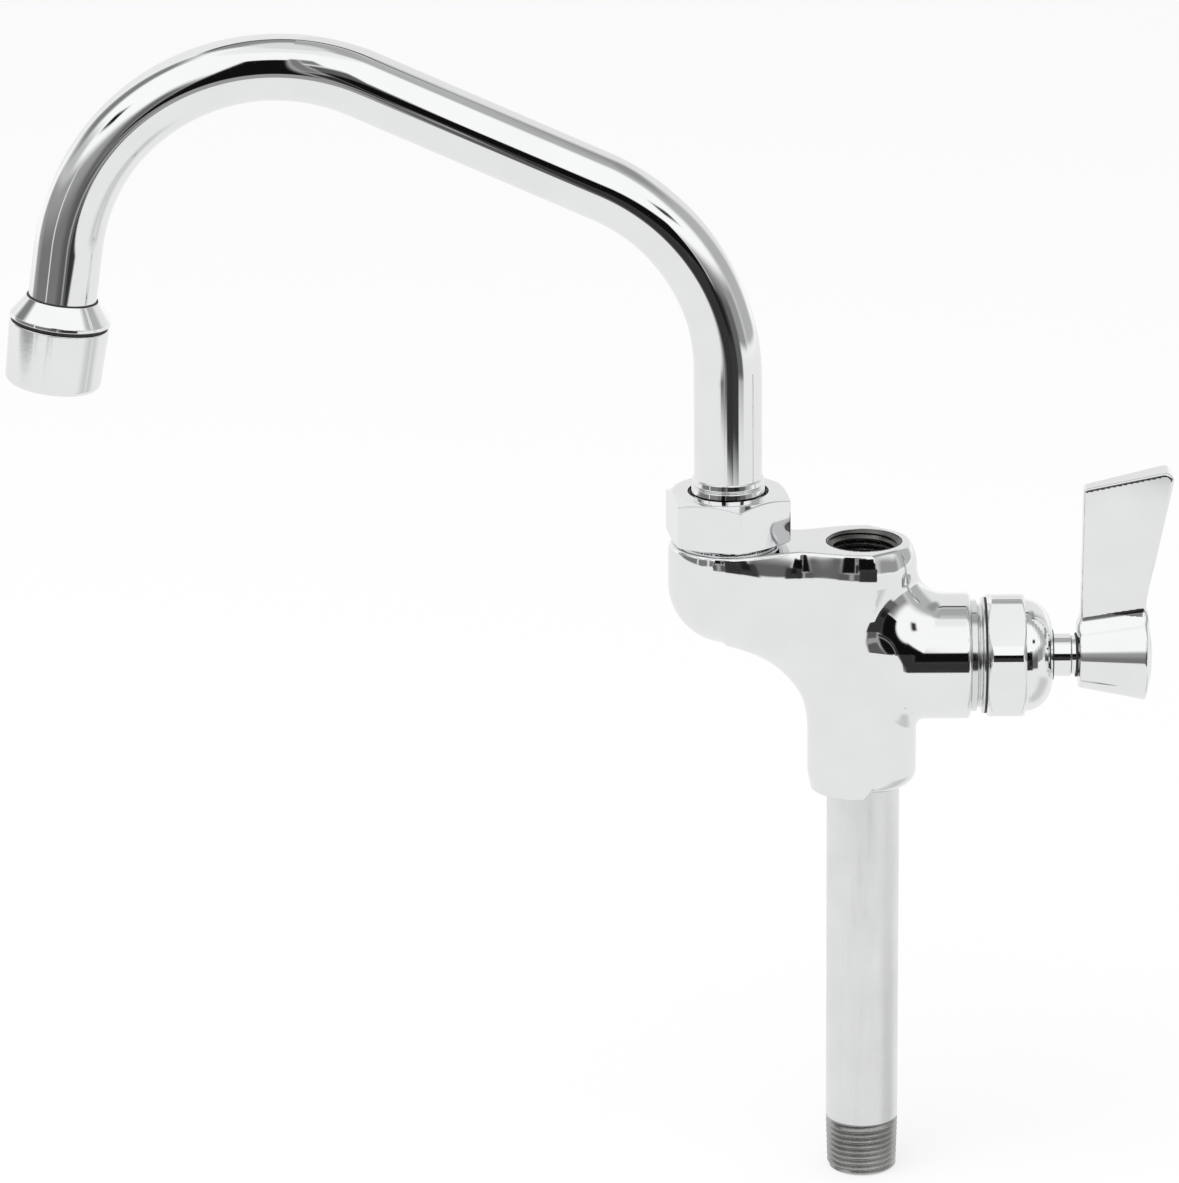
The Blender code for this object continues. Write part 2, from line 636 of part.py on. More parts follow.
def spout_sleeve(parts):
    """Brazed on the tube's lower end. Its flange rests on the neck and its grooves hold the two O-rings."""
    flange_bottom = NECK_TOP + GAP
    grooves = []
    for place in reversed(SPOUT_ORING_HEIGHTS):
        half = SPOUT_ORING_SECTION + 0.3 * MM
        grooves += [(SLEEVE_RADIUS, place + half), (SLEEVE_RADIUS - 1.65 * MM, place + half),
                    (SLEEVE_RADIUS - 1.65 * MM, place - half), (SLEEVE_RADIUS, place - half)]
    bottom = SPOUT_BORE_FLOOR + 1.2 * MM
    profile = [(11.1 * MM, SLEEVE_TOP), (11.1 * MM, flange_bottom), (SLEEVE_RADIUS, flange_bottom), *grooves,
               (SLEEVE_RADIUS, bottom), (6.3 * MM, bottom), (6.3 * MM, SLEEVE_SHOULDER),
               (TUBE_RADIUS + 0.15 * MM, SLEEVE_SHOULDER), (TUBE_RADIUS + 0.15 * MM, SLEEVE_TOP)]
    return turned("spout_sleeve", profile, parts, brass("sleeve_brass"), steps=COARSE, ring=True)


def spout_orings(parts):
    rings = []
    for name, height in zip(("spout_oring_lower", "spout_oring_upper"), SPOUT_ORING_HEIGHTS):
        profile = arc((SLEEVE_RADIUS - 0.75 * MM, height), SPOUT_ORING_SECTION, 90, -270, ORING_SIDES)[:-1]
        rings.append(turned(name, profile, parts, rubber(name + "_rubber"), steps=COARSE, ring=True))
    return rings


def spout_path():
    """(distance out from the swivel axis, height) along the tube's middle, and the point where the nozzle ends."""
    path = [(0, SLEEVE_SHOULDER + GAP), (0, LEG_TOP)]

    def bend(center, start, end):
        steps = max(2, round(abs(end - start) / BEND_STEP))
        for i in range(1, steps + 1):
            angle = start + (end - start) * i / steps
            path.append((center[0] + BEND_RADIUS * math.cos(angle), center[1] + BEND_RADIUS * math.sin(angle)))

    bend((BEND_RADIUS, LEG_TOP), math.pi, math.pi / 2 + SLOPE)
    out, height = path[-1]
    out += SLOPE_LENGTH * math.cos(SLOPE)
    height += SLOPE_LENGTH * math.sin(SLOPE)
    path.append((out, height))
    bend((out + BEND_RADIUS * math.sin(SLOPE), height - BEND_RADIUS * math.cos(SLOPE)), math.pi / 2 + SLOPE, NOZZLE_LEAN)
    out, height = path[-1]
    tip = (out + NOZZLE_LENGTH * math.sin(NOZZLE_LEAN), height - NOZZLE_LENGTH * math.cos(NOZZLE_LEAN))
    return path, tip


def along_nozzle(tip, distance):
    return (tip[0] + distance * math.sin(NOZZLE_LEAN), tip[1] - distance * math.cos(NOZZLE_LEAN))


def spout_tube(parts):
    path, tip = spout_path()
    path.append(along_nozzle(tip, 4 * MM))
    points = [(-out, 0, height) for out, height in path]
    tube = tube_curve("spout_tube", points, TUBE_RADIUS, parts, chrome("tube_chrome"), caps=False)
    wall = tube.modifiers.new("Wall", "SOLIDIFY")
    wall.thickness = TUBE_WALL
    wall.offset = -1
    wall.use_rim = True
    return tube


def aerator_adapter(parts):
    profile = [(CONE_TOP_RADIUS, 0), (CONE_RADIUS - 0.7 * MM, 2 * MM - SEAM), (CONE_RADIUS, 1.3 * MM - SEAM),
               (CONE_RADIUS, -SEAM), (10 * MM, -SEAM), (10 * MM, -12 * MM), (6.5 * MM, -12 * MM),
               (6.5 * MM, -4.3 * MM), (TUBE_RADIUS + 0.15 * MM, -4.3 * MM), (TUBE_RADIUS + 0.15 * MM, 0)]
    return turned("aerator_adapter", profile, parts, chrome("adapter_chrome"), steps=MEDIUM, ring=True)


def aerator_housing(parts):
    profile = [(CONE_RADIUS - 0.2 * MM, -SEAM - 0.25 * MM), (CONE_RADIUS - 0.05 * MM, -SEAM - 0.6 * MM),
               (OUTLET_RADIUS, 1 * MM - OUTLET), (OUTLET_RADIUS - 0.9 * MM, -OUTLET),
               (8.2 * MM, -OUTLET), (8.2 * MM, 1.1 * MM - OUTLET), (8.9 * MM, 1.1 * MM - OUTLET), (8.9 * MM, -15 * MM),
               (10.2 * MM, -15 * MM), (10.2 * MM, -SEAM - 0.25 * MM)]
    return turned("aerator_housing", profile, parts, chrome("housing_chrome"), steps=MEDIUM, ring=True)


def aerator_gasket(parts):
    return turned("aerator_gasket", ring_profile(9.9 * MM, 6.8 * MM, -13.3 * MM, -12.3 * MM), parts,
                  rubber("aerator_gasket_rubber"), steps=COARSE, ring=True)


def joined_cutter(name, shapes, cutters):
    """One cutter object out of several small meshes."""
    mesh = bpy.data.meshes.new(name)
    whole = bmesh.new()
    for shape in shapes:
        whole.from_mesh(shape.data)
        bpy.data.objects.remove(shape, do_unlink=True)
    whole.to_mesh(mesh)
    whole.free()
    return as_cutter(add_object(name, mesh, cutters))


def aerator_core(parts, cutters):
    """The plastic disc that breaks the stream up, with two rings of holes."""
    profile = [(0, -13.6 * MM), (9.9 * MM, -13.6 * MM), (9.9 * MM, -14.7 * MM), (8.6 * MM, -14.7 * MM),
               (8.6 * MM, -17 * MM), (0, -17 * MM)]
    core = turned("aerator_core", profile, parts, nylon("core_plastic"), steps=COARSE)
    holes = []
    for ring_radius, count in ((3 * MM, 6), (6 * MM, 12)):
        for i in range(count):
            hole = prism("hole", 0.85 * MM, -18 * MM, -13 * MM, cutters, sides=8)
            angle = 2 * math.pi * i / count
            hole.data.transform(Matrix.Translation((ring_radius * math.cos(angle), ring_radius * math.sin(angle), 0)))
            holes.append(hole)
    cutter = joined_cutter("cut_core_holes", holes, cutters)
    add_boolean(core, cutter)
    return core, cutter


def aerator_screen(parts, cutters):
    """The outlet screen, a thin disc with a grid of square holes."""
    screen = turned("aerator_screen", rod_profile(8.6 * MM, -19.5 * MM, -19 * MM), parts, steel("screen_steel"),
                    steps=COARSE)
    pitch = 2.2 * MM
    half = 0.75 * MM
    holes = []
    for i in range(-3, 4):
        for j in range(-3, 4):
            if math.hypot(i, j) * pitch < 7 * MM:
                low = (i * pitch - half, j * pitch - half, -20 * MM)
                holes.append(box("hole", low, (i * pitch + half, j * pitch + half, -18.5 * MM), cutters))
    cutter = joined_cutter("cut_screen_holes", holes, cutters)
    add_boolean(screen, cutter)
    return screen, cutter


# ---------------------------------------------------------------- assembly


def empty(name, place, collection, turn=(0, 0, 0)):
    marker = bpy.data.objects.new(name, None)
    marker.empty_display_size = 5 * MM
    marker.location = place
    marker.rotation_euler = turn
    collection.objects.link(marker)
    return marker


def hang_on(marker, things):
    """Parents objects to an empty, and keeps them where they are."""
    bpy.context.view_layer.update()
    for thing in things:
        thing.parent = marker
        thing.matrix_parent_inverse = marker.matrix_world.inverted()


def main():
    clear_scene()
    parts = new_collection("pre_rinse_add_on_faucet")
    cutters = new_collection("cutters")

    faucet_body(parts, cutters)
    inlet_nipple(parts)
    bonnet_gasket(parts)
    bonnet(parts, cutters)
    valve_seat(parts)
    spout_nut(parts, cutters)
    spout_glide_washer(parts)

    travel_axis = empty("stem_travel_axis", (0, 0, VALVE_Z), parts)
    turn_axis = empty("handle_turn_axis", (HUB_START, 0, VALVE_Z), parts)
    hang_on(travel_axis, [seat_washer(parts), washer_holder(parts), washer_screw(parts, cutters), turn_axis])
    hang_on(turn_axis, [valve_stem(parts), *stem_orings(parts), lever_handle(parts, cutters),
                        handle_screw(parts, cutters), index_button(parts)])

    swivel = empty("spout_swivel_axis", (SPOUT_X, 0, TOP_Z), parts)
    for thing in (spout_tube(parts), spout_sleeve(parts), *spout_orings(parts)):
        thing.location.x = SPOUT_X
        hang_on(swivel, [thing])
    _, tip = spout_path()
    nozzle = empty("nozzle_end", (SPOUT_X - tip[0], 0, tip[1]), parts, (0, NOZZLE_LEAN, 0))
    hang_on(swivel, [nozzle])
    core = aerator_core(parts, cutters)
    screen = aerator_screen(parts, cutters)
    for thing in (aerator_adapter(parts), aerator_housing(parts), aerator_gasket(parts), *core, *screen):
        thing.parent = nozzle

    for mesh in bpy.data.meshes:
        smooth_shading(mesh)
    bpy.context.view_layer.update()


main()
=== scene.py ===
"""Looks of the add-on faucet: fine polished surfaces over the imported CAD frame, a pale studio and the camera."""

import math

import bmesh
import bpy
import numpy as np
from mathutils import Matrix, Vector


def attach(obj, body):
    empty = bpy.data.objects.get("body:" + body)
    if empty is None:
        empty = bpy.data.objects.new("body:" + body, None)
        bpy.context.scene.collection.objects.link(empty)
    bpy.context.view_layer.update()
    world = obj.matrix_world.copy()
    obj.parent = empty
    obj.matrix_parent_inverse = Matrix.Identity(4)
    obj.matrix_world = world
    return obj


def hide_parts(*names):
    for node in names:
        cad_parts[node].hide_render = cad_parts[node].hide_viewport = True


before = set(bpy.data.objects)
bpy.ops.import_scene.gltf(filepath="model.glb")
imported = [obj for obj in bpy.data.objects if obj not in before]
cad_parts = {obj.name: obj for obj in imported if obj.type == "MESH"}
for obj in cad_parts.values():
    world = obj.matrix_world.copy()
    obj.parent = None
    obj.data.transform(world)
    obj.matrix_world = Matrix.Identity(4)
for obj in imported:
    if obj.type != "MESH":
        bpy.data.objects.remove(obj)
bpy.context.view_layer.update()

# Sizes in millimetres, as in the part.
NIPPLE_RADIUS, NIPPLE_BORE, NIPPLE_LENGTH = 8.57, 6.2, 108.5
PIPE_PITCH, PIPE_TAPER, PIPE_THREAD_DEPTH = 25.4 / 18, 1 / 32, 0.72
THREAD_END, THREAD_RUNOUT = 8 * PIPE_PITCH, 2
TOP_Z, LIP_Z, LIP_ROUND = 157.7, 98.1, 3.5
COLUMN_RADIUS, SPOUT_X, CHAMBER_RADIUS, ARM_HALF_WIDTH = 12.45, -31.75, 14.1, 10.5
KEEL_ROUND, KEEL_SLOPE, KEEL_DROP, BOWL_DROP = 22, math.radians(20.9), 47.8, 10.2
VALVE_Z, BOSS_RADIUS, BOSS_START, BOSS_END, BOSS_ROUND = 129.2, 14.85, 4, 24.9, 6
PORT_RADIUS, PORT_DEPTH, PORT_CHAMFER_RADIUS = 7.35, 13, 8.85
NECK_RADIUS, NECK_TOP, SPOUT_BORE, SPOUT_BORE_FLOOR = 11.4, 165, 9.6, 143
CHAMBER_START, VALVE_CHAMBER_RADIUS, SEAT_POCKET_START, SEAT_POCKET_RADIUS = -3, 9.5, -9, 6.6
WATERWAY_RADIUS, WATERWAY_MIDDLE, WATERWAY_REACH, SOCKET_DEPTH = 5.5, 128, 20, 11.2
NUT_BOTTOM, NUT_TOP, NUT_SHOULDER, NUT_FLATS, NUT_TURN, NUT_HOLE = 158.6, 170, 167.8, 26.8, math.radians(-19.5), 9.5
TUBE_RADIUS, TUBE_START, LEG_TOP, BEND_RADIUS, BEND_FLATTENING = 7.94, 156.8, TOP_Z + 40.6, 49.4, 0.04
SLOPE, SLOPE_LENGTH, NOZZLE_LEAN, NOZZLE_LENGTH = math.radians(24.2), 58.9, math.radians(8.4), 12.1
CONE_TOP_RADIUS, CONE_RADIUS, GROOVE_TOP, GROOVE_BOTTOM = 8.45, 11.75, 5.4, 6.25
OUTLET, OUTLET_RADIUS, SCREEN_DEPTH, SCREEN_RADIUS = 21, 11.1, 19.35, 8.4
BONNET_START, BONNET_SHOULDER, BONNET_SHANK_RADIUS, BONNET_THREAD_RADIUS, BONNET_BORE = 14.1, 12.5, 11.8, 12.5, 8.9
HEX_BACK, HEX_END, HEX_FLATS, HEX_CORNER_RISE = 28.7, 37.7, 28.5, math.radians(17)
DOME_END, DOME_RADIUS, DOME_ROUND = 44.2, 13.2, 7
STEM_RADIUS, STEM_BORE, HUB_START, HUB_END = 5.05, 5.25, 50.4, 66
HUB_SMALL_RADIUS, HUB_BIG_RADIUS, HUB_DOME, BUTTON_RADIUS, HUB_HOLLOW = 7.7, 10.7, 1.7, 7, 0.22
BLADE_INNER_X, BLADE_INNER_TOP, BLADE_OUTER_X, BLADE_OUTER_TOP = 51.1, 170, 72.1, 174.4
BLADE_THIN, BLADE_THICK = 4.6, 7.8

# The casting's fillets: (least, what is added higher up) at the arm, the bowl and the boss, over how much height
# this is added, and where it starts below the top and below the valve's axis.
ARM_FILLET, BOWL_FILLET, BOSS_FILLET = (2.5, 4), (2.2, 4), (2.5, 4.5)
WIDENING, WIDENING_BELOW_TOP, WIDENING_BELOW_VALVE = 8, 16, 3
# Its top is drawn in from a shoulder, which lies deeper on the side of the valve: depth, change, place, spread and
# softness. The edges of its top face and of its bores are rounded.
SHOULDER, SHOULDER_CHANGE, SHOULDER_X, SHOULDER_SPREAD, SHOULDER_SOFTNESS = 4.8, 1.6, -26, 6, 24
TOP_EDGE, MACHINED_EDGE = 0.7, 0.25
# How finely round pieces are divided, the angle that makes a thread's edge sharp, and the gap of a close fit.
AROUND = 144
SHARP_EDGE = math.radians(28)
FIT = 0.15
# How far a hexagon's chamfer starts inside its flats, and how widely its edge is rounded.
HEX_INSET, HEX_BLEND = 0.35, 0.203


# ---------------------------------------------------------------- meshes

def add_mesh(name, points, faces, normals=None, material=None):
    """A mesh object from points in millimetres. Normals, one a point, give a polished surface its reflections."""
    mesh = bpy.data.meshes.new(name)
    mesh.from_pydata((np.asarray(points, float) * 0.001).tolist(), [], np.asarray(faces).tolist())
    mesh.update()
    mesh.shade_smooth()
    if normals is not None:
        mesh.normals_split_custom_set_from_vertices(np.asarray(normals, float).tolist())
    thing = bpy.data.objects.new(name, mesh)
    bpy.context.scene.collection.objects.link(thing)
    if material:
        mesh.materials.append(material)
    return thing


def joined(shapes):
    """One set of points, faces and normals out of several."""
    points, faces, normals, count = [], [], [], 0
    for p, f, n in shapes:
        points.append(p)
        faces.append(np.asarray(f) + count)
        normals.append(n)
        count += len(p)
    return np.concatenate(points), np.concatenate(faces), np.concatenate(normals)


def placed(shape, matrix):
    """The shape moved and turned by the matrix."""
    points, faces, normals = shape
    turn = np.array(matrix.to_3x3())
    move = np.array(matrix.translation)
    return points @ turn.T + move, faces, normals @ turn.T


def along_x():
    """Takes +Z to +X, onto the valve's axis."""
    return Matrix.Translation((0, 0, VALVE_Z)) @ Matrix.Rotation(math.pi / 2, 4, "Y")


def spout_axis():
    """Takes the upright axis onto the spout's."""
    return Matrix.Translation((SPOUT_X, 0, 0))


def grid_faces(rows, columns, wrap):
    """Quads over a grid of points, closed round its columns if wrap."""
    i, j = np.meshgrid(np.arange(rows - 1), np.arange(columns if wrap else columns - 1), indexing="ij")
    a = i * columns + j
    b = i * columns + (j + 1) % columns
    return np.stack([a, a + columns, b + columns, b], -1).reshape(-1, 4)


def rounded_profile(corners, closed=False, steps=6):
    """Rows (r, h, nr, nh) of a profile given as (r, h, round). Each corner turns through an arc of that radius."""
    count = len(corners)
    rows = []
    for i, (r, h, radius) in enumerate(corners):
        here = np.array((r, h), float)
        before = np.array(corners[i - 1][:2], float) if closed or i else None
        after = np.array(corners[(i + 1) % count][:2], float) if closed or i < count - 1 else None
        into = None if before is None else (here - before) / np.linalg.norm(here - before)
        out = None if after is None else (after - here) / np.linalg.norm(after - here)
        if into is None:
            rows.append((r, h, -out[1], out[0]))
        elif out is None:
            rows.append((r, h, -into[1], into[0]))
        else:
            rows += corner_rows(here, into, out, radius, steps)
    if closed:
        rows.append(rows[0])
    return rows


def corner_rows(here, into, out, radius, steps):
    """Rows of one corner, sharp where its radius is 0."""
    start = np.array((-into[1], into[0]))
    end = np.array((-out[1], out[0]))
    turn = math.atan2(into[0] * out[1] - into[1] * out[0], float(into @ out))
    if radius == 0 or abs(turn) < 1e-4:
        return [(*here, *start), (*here, *end)]
    side = math.copysign(1, turn)
    tangent = here - into * radius * abs(math.tan(turn / 2))
    center = tangent + side * radius * start
    rows = []
    for k in range(steps + 1):
        angle = turn * k / steps
        c, s = math.cos(angle), math.sin(angle)
        normal = np.array((c * start[0] - s * start[1], s * start[0] + c * start[1]))
        rows.append((*(center - side * radius * normal), *normal))
    return rows


def turned(corners, closed=False, steps=6):
    """A profile turned round the upright axis."""
    rows = np.array(rounded_profile(corners, closed, steps))
    angles = np.arange(AROUND) * 2 * math.pi / AROUND
    c, s = np.cos(angles), np.sin(angles)
    one = np.ones(AROUND)
    points = np.stack([np.outer(rows[:, 0], c), np.outer(rows[:, 0], s), np.outer(rows[:, 1], one)], -1)
    normals = np.stack([np.outer(rows[:, 2], c), np.outer(rows[:, 2], s), np.outer(rows[:, 3], one)], -1)
    return points.reshape(-1, 3), grid_faces(len(rows), AROUND, True), normals.reshape(-1, 3)


def hex_outline(flats, corner_round, turn, flat_steps=14, corner_steps=6):
    """Points and outward normals round a hexagon with rounded corners, one corner at the angle turn."""
    inner = (flats / 2 - corner_round) / math.cos(math.pi / 6)
    rows = []
    for k in range(6):
        middle = turn + k * math.pi / 3
        center = np.array((inner * math.cos(middle), inner * math.sin(middle)))
        for j in range(corner_steps + 1):
            angle = middle + math.pi / 3 * (j / corner_steps - 0.5)
            normal = np.array((math.cos(angle), math.sin(angle)))
            rows.append((*(center + corner_round * normal), *normal))
        after = middle + math.pi / 3
        far = np.array((inner * math.cos(after), inner * math.sin(after))) + corner_round * normal
        near = center + corner_round * normal
        for j in range(1, flat_steps):
            rows.append((*(near + (far - near) * j / flat_steps), *normal))
    return np.array(rows)


def unit(v):
    """Vectors of length 1."""
    return v / np.maximum(np.linalg.norm(v, axis=-1, keepdims=True), 1e-12)


def hexagon(flats, turn, bottom, top, hole, bottom_hole, corner, chamfers):
    """A hexagon head. A cone cuts its corners back at the bottom and the top, as a turned blank leaves them."""
    outline = hex_outline(flats, corner, turn)
    place, side = outline[:, :2], outline[:, 2:]
    far = np.linalg.norm(place, axis=1)
    radial = place / far[:, None]
    start = flats / 2 - HEX_INSET
    flat = np.zeros(len(outline))

    def end(height, sign, hole_radius, chamfer):
        """Rows (radius, height, outward, upward) from the hole to the side."""
        angle = math.radians(chamfer)
        slope = math.tan(angle)
        drop = (far - start) * slope
        level = radial * 0
        up = flat + sign
        out_up = radial * math.sin(angle)
        cone_up = flat + sign * math.cos(angle)
        seam = 0.05
        rows = [(flat + hole_radius, flat + height, level, up),
                (flat + start - seam, flat + height, level, up),
                (flat + start + seam, flat + height - sign * seam * slope, out_up, cone_up),
                (far - HEX_BLEND * math.cos(angle), height - sign * (drop - HEX_BLEND * 0.5), out_up, cone_up)]
        for t in (0.33, 0.67):
            bulge = HEX_BLEND * 0.32 * math.sin(math.pi * t)
            radius = far - HEX_BLEND * (1 - t) * 0.87 - bulge * 0.9
            fall = drop - HEX_BLEND * 0.5 * (1 - t) + HEX_BLEND * t + bulge * 0.4
            rows.append((radius, height - sign * fall, out_up * (1 - t) + side * t, cone_up * (1 - t)))
        rows.append((far, height - sign * (drop + HEX_BLEND), side, flat))
        return rows

    rows = end(top, 1, hole, chamfers[1]) + end(bottom, -1, bottom_hole, chamfers[0])[::-1]
    points = [np.column_stack([radial * radius[:, None], height]) for radius, height, _, _ in rows]
    normals = [unit(np.column_stack([out, up])) for _, _, out, up in rows]
    return np.concatenate(points), grid_faces(len(rows), len(outline), True), np.concatenate(normals)


def thread(crest, depth, bottom, top, inside=False):
    """A helical V thread between two heights. crest and depth are functions of height."""
    turns = int(math.ceil((top - bottom) / PIPE_PITCH)) + 1
    profile = ((0, 0), (0.08, 0), (0.46, 1), (0.62, 1))
    starts = [(bottom + (k + share) * PIPE_PITCH, level) for k in range(-1, turns) for share, level in profile]
    starts.append((bottom + turns * PIPE_PITCH, 0))
    angles = np.arange(AROUND + 1) * 2 * math.pi / AROUND
    points = []
    for height, level in starts:
        z = np.clip(height + PIPE_PITCH * angles / (2 * math.pi), bottom, top)
        cut = depth(z) * (1 - level)
        r = crest(z) + cut if inside else crest(z) - cut
        points.append(np.stack([r * np.cos(angles), r * np.sin(angles), z], -1))
    points = np.concatenate(points)
    faces = grid_faces(len(starts), AROUND + 1, False)
    return points, faces if inside else faces[:, ::-1]


def welded(name, points, faces, material):
    """A mesh object whose points are merged and whose edges are sharp."""
    thing = add_mesh(name, points, faces, material=material)
    shape = bmesh.new()
    shape.from_mesh(thing.data)
    bmesh.ops.remove_doubles(shape, verts=shape.verts, dist=2e-6)
    bmesh.ops.dissolve_degenerate(shape, edges=shape.edges, dist=1e-6)
    bmesh.ops.recalc_face_normals(shape, faces=shape.faces)
    shape.to_mesh(thing.data)
    shape.free()
    thing.data.shade_smooth()
    thing.data.set_sharp_from_angle(angle=SHARP_EDGE)
    return thing


# ---------------------------------------------------------------- rounded fields

def round_union(a, b, r):
    """Two solids joined with a fillet of radius r."""
    return np.maximum(r, np.minimum(a, b)) - np.hypot(np.maximum(r - a, 0), np.maximum(r - b, 0))


def round_both(a, b, r):
    """What two solids share, with an edge of radius r."""
    return -round_union(-a, -b, r)


def round_cut(a, b, r):
    """Solid a without solid b, with an edge of radius r."""
    return -round_union(-a, b, r)


def surface_net(field, low, high, cell):
    """Points, faces and normals of the surface where the field is zero. Six steps draw the points onto it."""
    axes = [np.arange(lo, hi + cell, cell) for lo, hi in zip(low, high)]
    value = field(*np.meshgrid(*axes, indexing="ij")).astype(np.float32)
    inside = value < 0
    shape = np.array(value.shape)
    total = np.zeros((*(shape - 1), 3), np.float32)
    count = np.zeros(tuple(shape - 1), np.int16)
    crossings = []
    for axis in range(3):
        a = [slice(None)] * 3
        b = [slice(None)] * 3
        a[axis], b[axis] = slice(0, -1), slice(1, None)
        first, second = value[tuple(a)], value[tuple(b)]
        cross = inside[tuple(a)] != inside[tuple(b)]
        where = np.argwhere(cross)
        crossings.append((where, inside[tuple(a)][cross]))
        t = first[cross] / (first[cross] - second[cross])
        at = where.astype(np.float32)
        at[:, axis] += t
        others = [k for k in range(3) if k != axis]
        for d1 in (0, -1):
            for d2 in (0, -1):
                cell_at = where.copy()
                cell_at[:, others[0]] += d1
                cell_at[:, others[1]] += d2
                np.add.at(total, tuple(cell_at.T), at)
                np.add.at(count, tuple(cell_at.T), 1)
    used = count > 0
    index = np.full(count.shape, -1)
    index[used] = np.arange(used.sum())
    points = total[used] / count[used][:, None] * cell + np.array(low)
    faces = []
    for axis, (where, starts_inside) in enumerate(crossings):
        u, v = [(1, 2), (2, 0), (0, 1)][axis]
        ring = []
        for du, dv in ((-1, -1), (0, -1), (0, 0), (-1, 0)):
            at = where.copy()
            at[:, u] += du
            at[:, v] += dv
            ring.append(index[tuple(at.T)])
        quads = np.stack(ring, -1)
        quads[~starts_inside] = quads[~starts_inside][:, ::-1]
        faces.append(quads)
    points = points.astype(float)
    for _ in range(6):
        gradient = slope_of(field, points)
        step = field(*points.T) / np.maximum((gradient ** 2).sum(1), 0.2)
        points -= np.clip(step, -cell / 2, cell / 2)[:, None] * gradient
    return points, np.concatenate(faces), unit(slope_of(field, points))


def slope_of(field, points, h=0.02):
    """The field's gradient at the points."""
    slopes = []
    for axis in range(3):
        move = np.zeros(3)
        move[axis] = h
        slopes.append((field(*(points + move).T) - field(*(points - move).T)) / (2 * h))
    return np.stack(slopes, -1)


def outline_distance(x, z, outline):
    """Signed distance to a closed outline in the plane of x and z, less than zero inside."""
    nearest = np.full(x.shape, 1e9)
    inside = np.zeros(x.shape, bool)
    for (x0, z0), (x1, z1) in zip(outline, np.roll(outline, -1, axis=0)):
        ex, ez = x1 - x0, z1 - z0
        t = np.clip(((x - x0) * ex + (z - z0) * ez) / (ex * ex + ez * ez), 0, 1)
        nearest = np.minimum(nearest, (x - x0 - t * ex) ** 2 + (z - z0 - t * ez) ** 2)
        if z0 != z1:
            inside ^= ((z0 > z) != (z1 > z)) & (x < ex * (z - z0) / ez + x0)
    return np.where(inside, -1, 1) * np.sqrt(nearest)


# ---------------------------------------------------------------- body

def keel_depth(x, z):
    """How far a point is below the middle line of the arm's round underside."""
    reach = KEEL_ROUND + ARM_HALF_WIDTH
    dx, dz = x + COLUMN_RADIUS + KEEL_ROUND, z - (TOP_Z - KEEL_DROP)
    angle = np.clip(np.arctan2(dz, np.maximum(dx, 1e-6)), 0, math.pi / 2 - KEEL_SLOPE)
    angle = np.where((dx <= 0) & (dz > 0), math.pi / 2 - KEEL_SLOPE, angle)
    return reach - dx * np.cos(angle) - dz * np.sin(angle)


def column_field(x, y, z):
    """The upright column, with a rounded lip at its lower end."""
    out = np.hypot(x, y) - COLUMN_RADIUS + LIP_ROUND
    below = LIP_Z + LIP_ROUND - z
    return np.hypot(np.maximum(out, 0), np.maximum(below, 0)) + np.minimum(np.maximum(out, below), 0) - LIP_ROUND


def body_field(x, y, z):
    """The casting, with its fillets widening upwards and its upper edges softened, less its bores."""
    spout, valve, middle = np.hypot(x - SPOUT_X, y), np.hypot(y, z - VALVE_Z), np.hypot(x, y)
    bowl = np.sqrt((x - SPOUT_X) ** 2 + y ** 2 + np.minimum(z - TOP_Z + BOWL_DROP, 0) ** 2) - CHAMBER_RADIUS
    arm = np.hypot(np.maximum(keel_depth(x, z), 0), y) - ARM_HALF_WIDTH
    arm = np.maximum(arm, np.maximum(x, SPOUT_X - x))
    boss = round_both(round_both(valve - BOSS_RADIUS, BOSS_START - x, BOSS_ROUND), x - BOSS_END, 1)
    high = np.clip((z - TOP_Z + WIDENING_BELOW_TOP) / WIDENING, 0, 1)
    above_valve = np.clip((z - VALVE_Z + WIDENING_BELOW_VALVE) / WIDENING, 0, 1)
    cast = round_union(column_field(x, y, z), arm, ARM_FILLET[0] + ARM_FILLET[1] * high)
    cast = round_union(cast, bowl, BOWL_FILLET[0] + BOWL_FILLET[1] * high)
    cast = round_union(cast, boss, BOSS_FILLET[0] + BOSS_FILLET[1] * above_valve)
    shoulder = SHOULDER + SHOULDER_CHANGE * np.tanh((x - SHOULDER_X) / SHOULDER_SPREAD)
    cast = cast + np.maximum(z - TOP_Z + shoulder, 0) ** 2 / SHOULDER_SOFTNESS
    cast = round_both(cast, z - TOP_Z, TOP_EDGE)
    cast = np.minimum(cast, np.maximum(spout - NECK_RADIUS, np.maximum(z - NECK_TOP, TOP_Z - 3 - z)))
    for hole in (np.maximum(middle - PORT_CHAMFER_RADIUS - 0.02, TOP_Z - PORT_DEPTH - z),
                 np.maximum(middle - WATERWAY_RADIUS, np.abs(z - WATERWAY_MIDDLE) - WATERWAY_REACH),
                 np.maximum(middle - NIPPLE_RADIUS - FIT, z - LIP_Z - SOCKET_DEPTH),
                 np.maximum(spout - SPOUT_BORE, SPOUT_BORE_FLOOR - z),
                 np.maximum(valve - BONNET_THREAD_RADIUS - FIT, BONNET_SHOULDER - x),
                 np.maximum(valve - VALVE_CHAMBER_RADIUS, CHAMBER_START - x),
                 np.maximum(valve - SEAT_POCKET_RADIUS, SEAT_POCKET_START - x)):
        cast = round_cut(cast, hole, MACHINED_EDGE)
    return cast


def body_shape():
    """The casting's surface, from a box that holds it and cells of 0.36 mm."""
    return surface_net(body_field, (-47, -16, 97), (26, 16, 166), 0.36)


